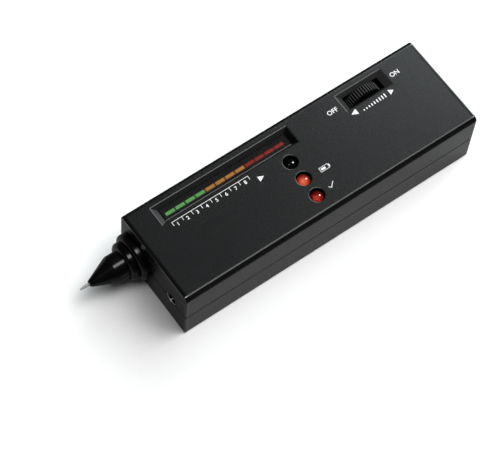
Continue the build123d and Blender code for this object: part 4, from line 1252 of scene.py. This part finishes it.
# %% Piece: signs beside the lamps
tick_stroke = 1.4 * stroke
sign_ink = bmesh.new()
cell_low, cell_high = at(3.9, -5.45), at(7.3, -3.85)
cell_corners = (cell_low, Vector((cell_high.x, cell_low.y)), cell_high,
                Vector((cell_low.x, cell_high.y)))
for corner, following in zip(cell_corners, cell_corners[1:] + cell_corners[:1]):
    side = (following - corner).normalized() * stroke
    print_line(sign_ink, corner + side, following)
print_line(sign_ink, at(7.65, -5.0), at(7.65, -4.3), 2 * stroke)
print_shape(sign_ink, (at(4.4, -5.05), at(6.1, -5.05), at(6.1, -4.25), at(4.4, -4.25)))
print_line(sign_ink, at(2.6, -11.2), at(3.3, -11.9), tick_stroke)
print_line(sign_ink, at(3.5, -11.65), at(4.9, -10.25), tick_stroke)
add_piece("lamp_signs", sign_ink, finishes["white_ink"], "case")

# %% [markdown]
# The tester lies on a sheet of white paper, large enough to reach past the picture on all sides.
# A photographer shades the paper with black flags so that it doesn't glare in black plastic. Here
# the paper simply looks darker to a reflection than to the camera, and darkest in three zones:
# beyond the tester, ahead of its probe and along its near side.

# %% Finish: white paper
zone_beyond = (20 * MM, 45 * MM)
zone_ahead = (-70 * MM, -60 * MM)
zone_beside = (-38 * MM, -30 * MM)


def make_white_paper():
    """Matt white paper that is darker to reflections than to the camera."""
    tree, shader, place = open_finish("white_paper")
    spot = axes_of(tree, place)
    fibres = noise(tree, place, 900.0, Detail=4.0)
    white = blend_colours(tree, fibres, grey(0.86), grey(0.90))
    shaded = blend_colours(tree, rising(tree, spot["Y"], *zone_beyond), grey(0.34), grey(0.03))
    shaded = blend_colours(tree, falling(tree, spot["X"], *zone_ahead), shaded, grey(0.20))
    shaded = blend_colours(tree, falling(tree, spot["Y"], *zone_beside), shaded, grey(0.05))
    mirrored = node(tree, "LightPath").outputs["Is Glossy Ray"]
    fill(tree, shader, {"Base Color": blend_colours(tree, mirrored, white, shaded),
                        "Roughness": 0.9, "Specular IOR Level": 0.1})


make_white_paper()

# %% [markdown]
# The sheet is a flat disc, a hair below the tester so that the two never fight for one level. It
# belongs to the studio and not to the tester.

# %% Lay the paper
paper_radius = 1.5
paper_drop = 0.02 * MM
sheet = bmesh.new()
bmesh.ops.create_circle(sheet, cap_ends=True, radius=paper_radius, segments=128)
bmesh.ops.translate(sheet, verts=sheet.verts, vec=(0, 0, -paper_drop))
paper_mesh = bpy.data.meshes.new("paper")
sheet.to_mesh(paper_mesh)
sheet.free()
paper_mesh.materials.append(finishes["white_paper"])
floor = bpy.data.objects.new("paper", paper_mesh)
bpy.context.scene.collection.objects.link(floor)
print("paper reaches to, in metres:", paper_radius)

# %% [markdown]
# The studio is almost dark apart from the panels, so only a faint even light comes from all
# round. To the camera itself the empty space is white, like the paper.

# %% Dim the room
room_glow = 0.03
room = bpy.data.worlds.new("dim_room")
bpy.context.scene.world = room
room.use_nodes = True
room_tree = room.node_tree
room_tree.nodes.clear()
seen = node(room_tree, "LightPath").outputs["Is Camera Ray"]
behind = node(room_tree, "Background", {"Color": (1, 1, 1, 1)}).outputs[0]
around = node(room_tree, "Background", {"Color": (*grey(room_glow), 1)}).outputs[0]
mixed = node(room_tree, "MixShader", {0: seen, 1: around, 2: behind}).outputs[0]
node(room_tree, "OutputWorld", {"Surface": mixed})
print("room brightness:", room_glow)
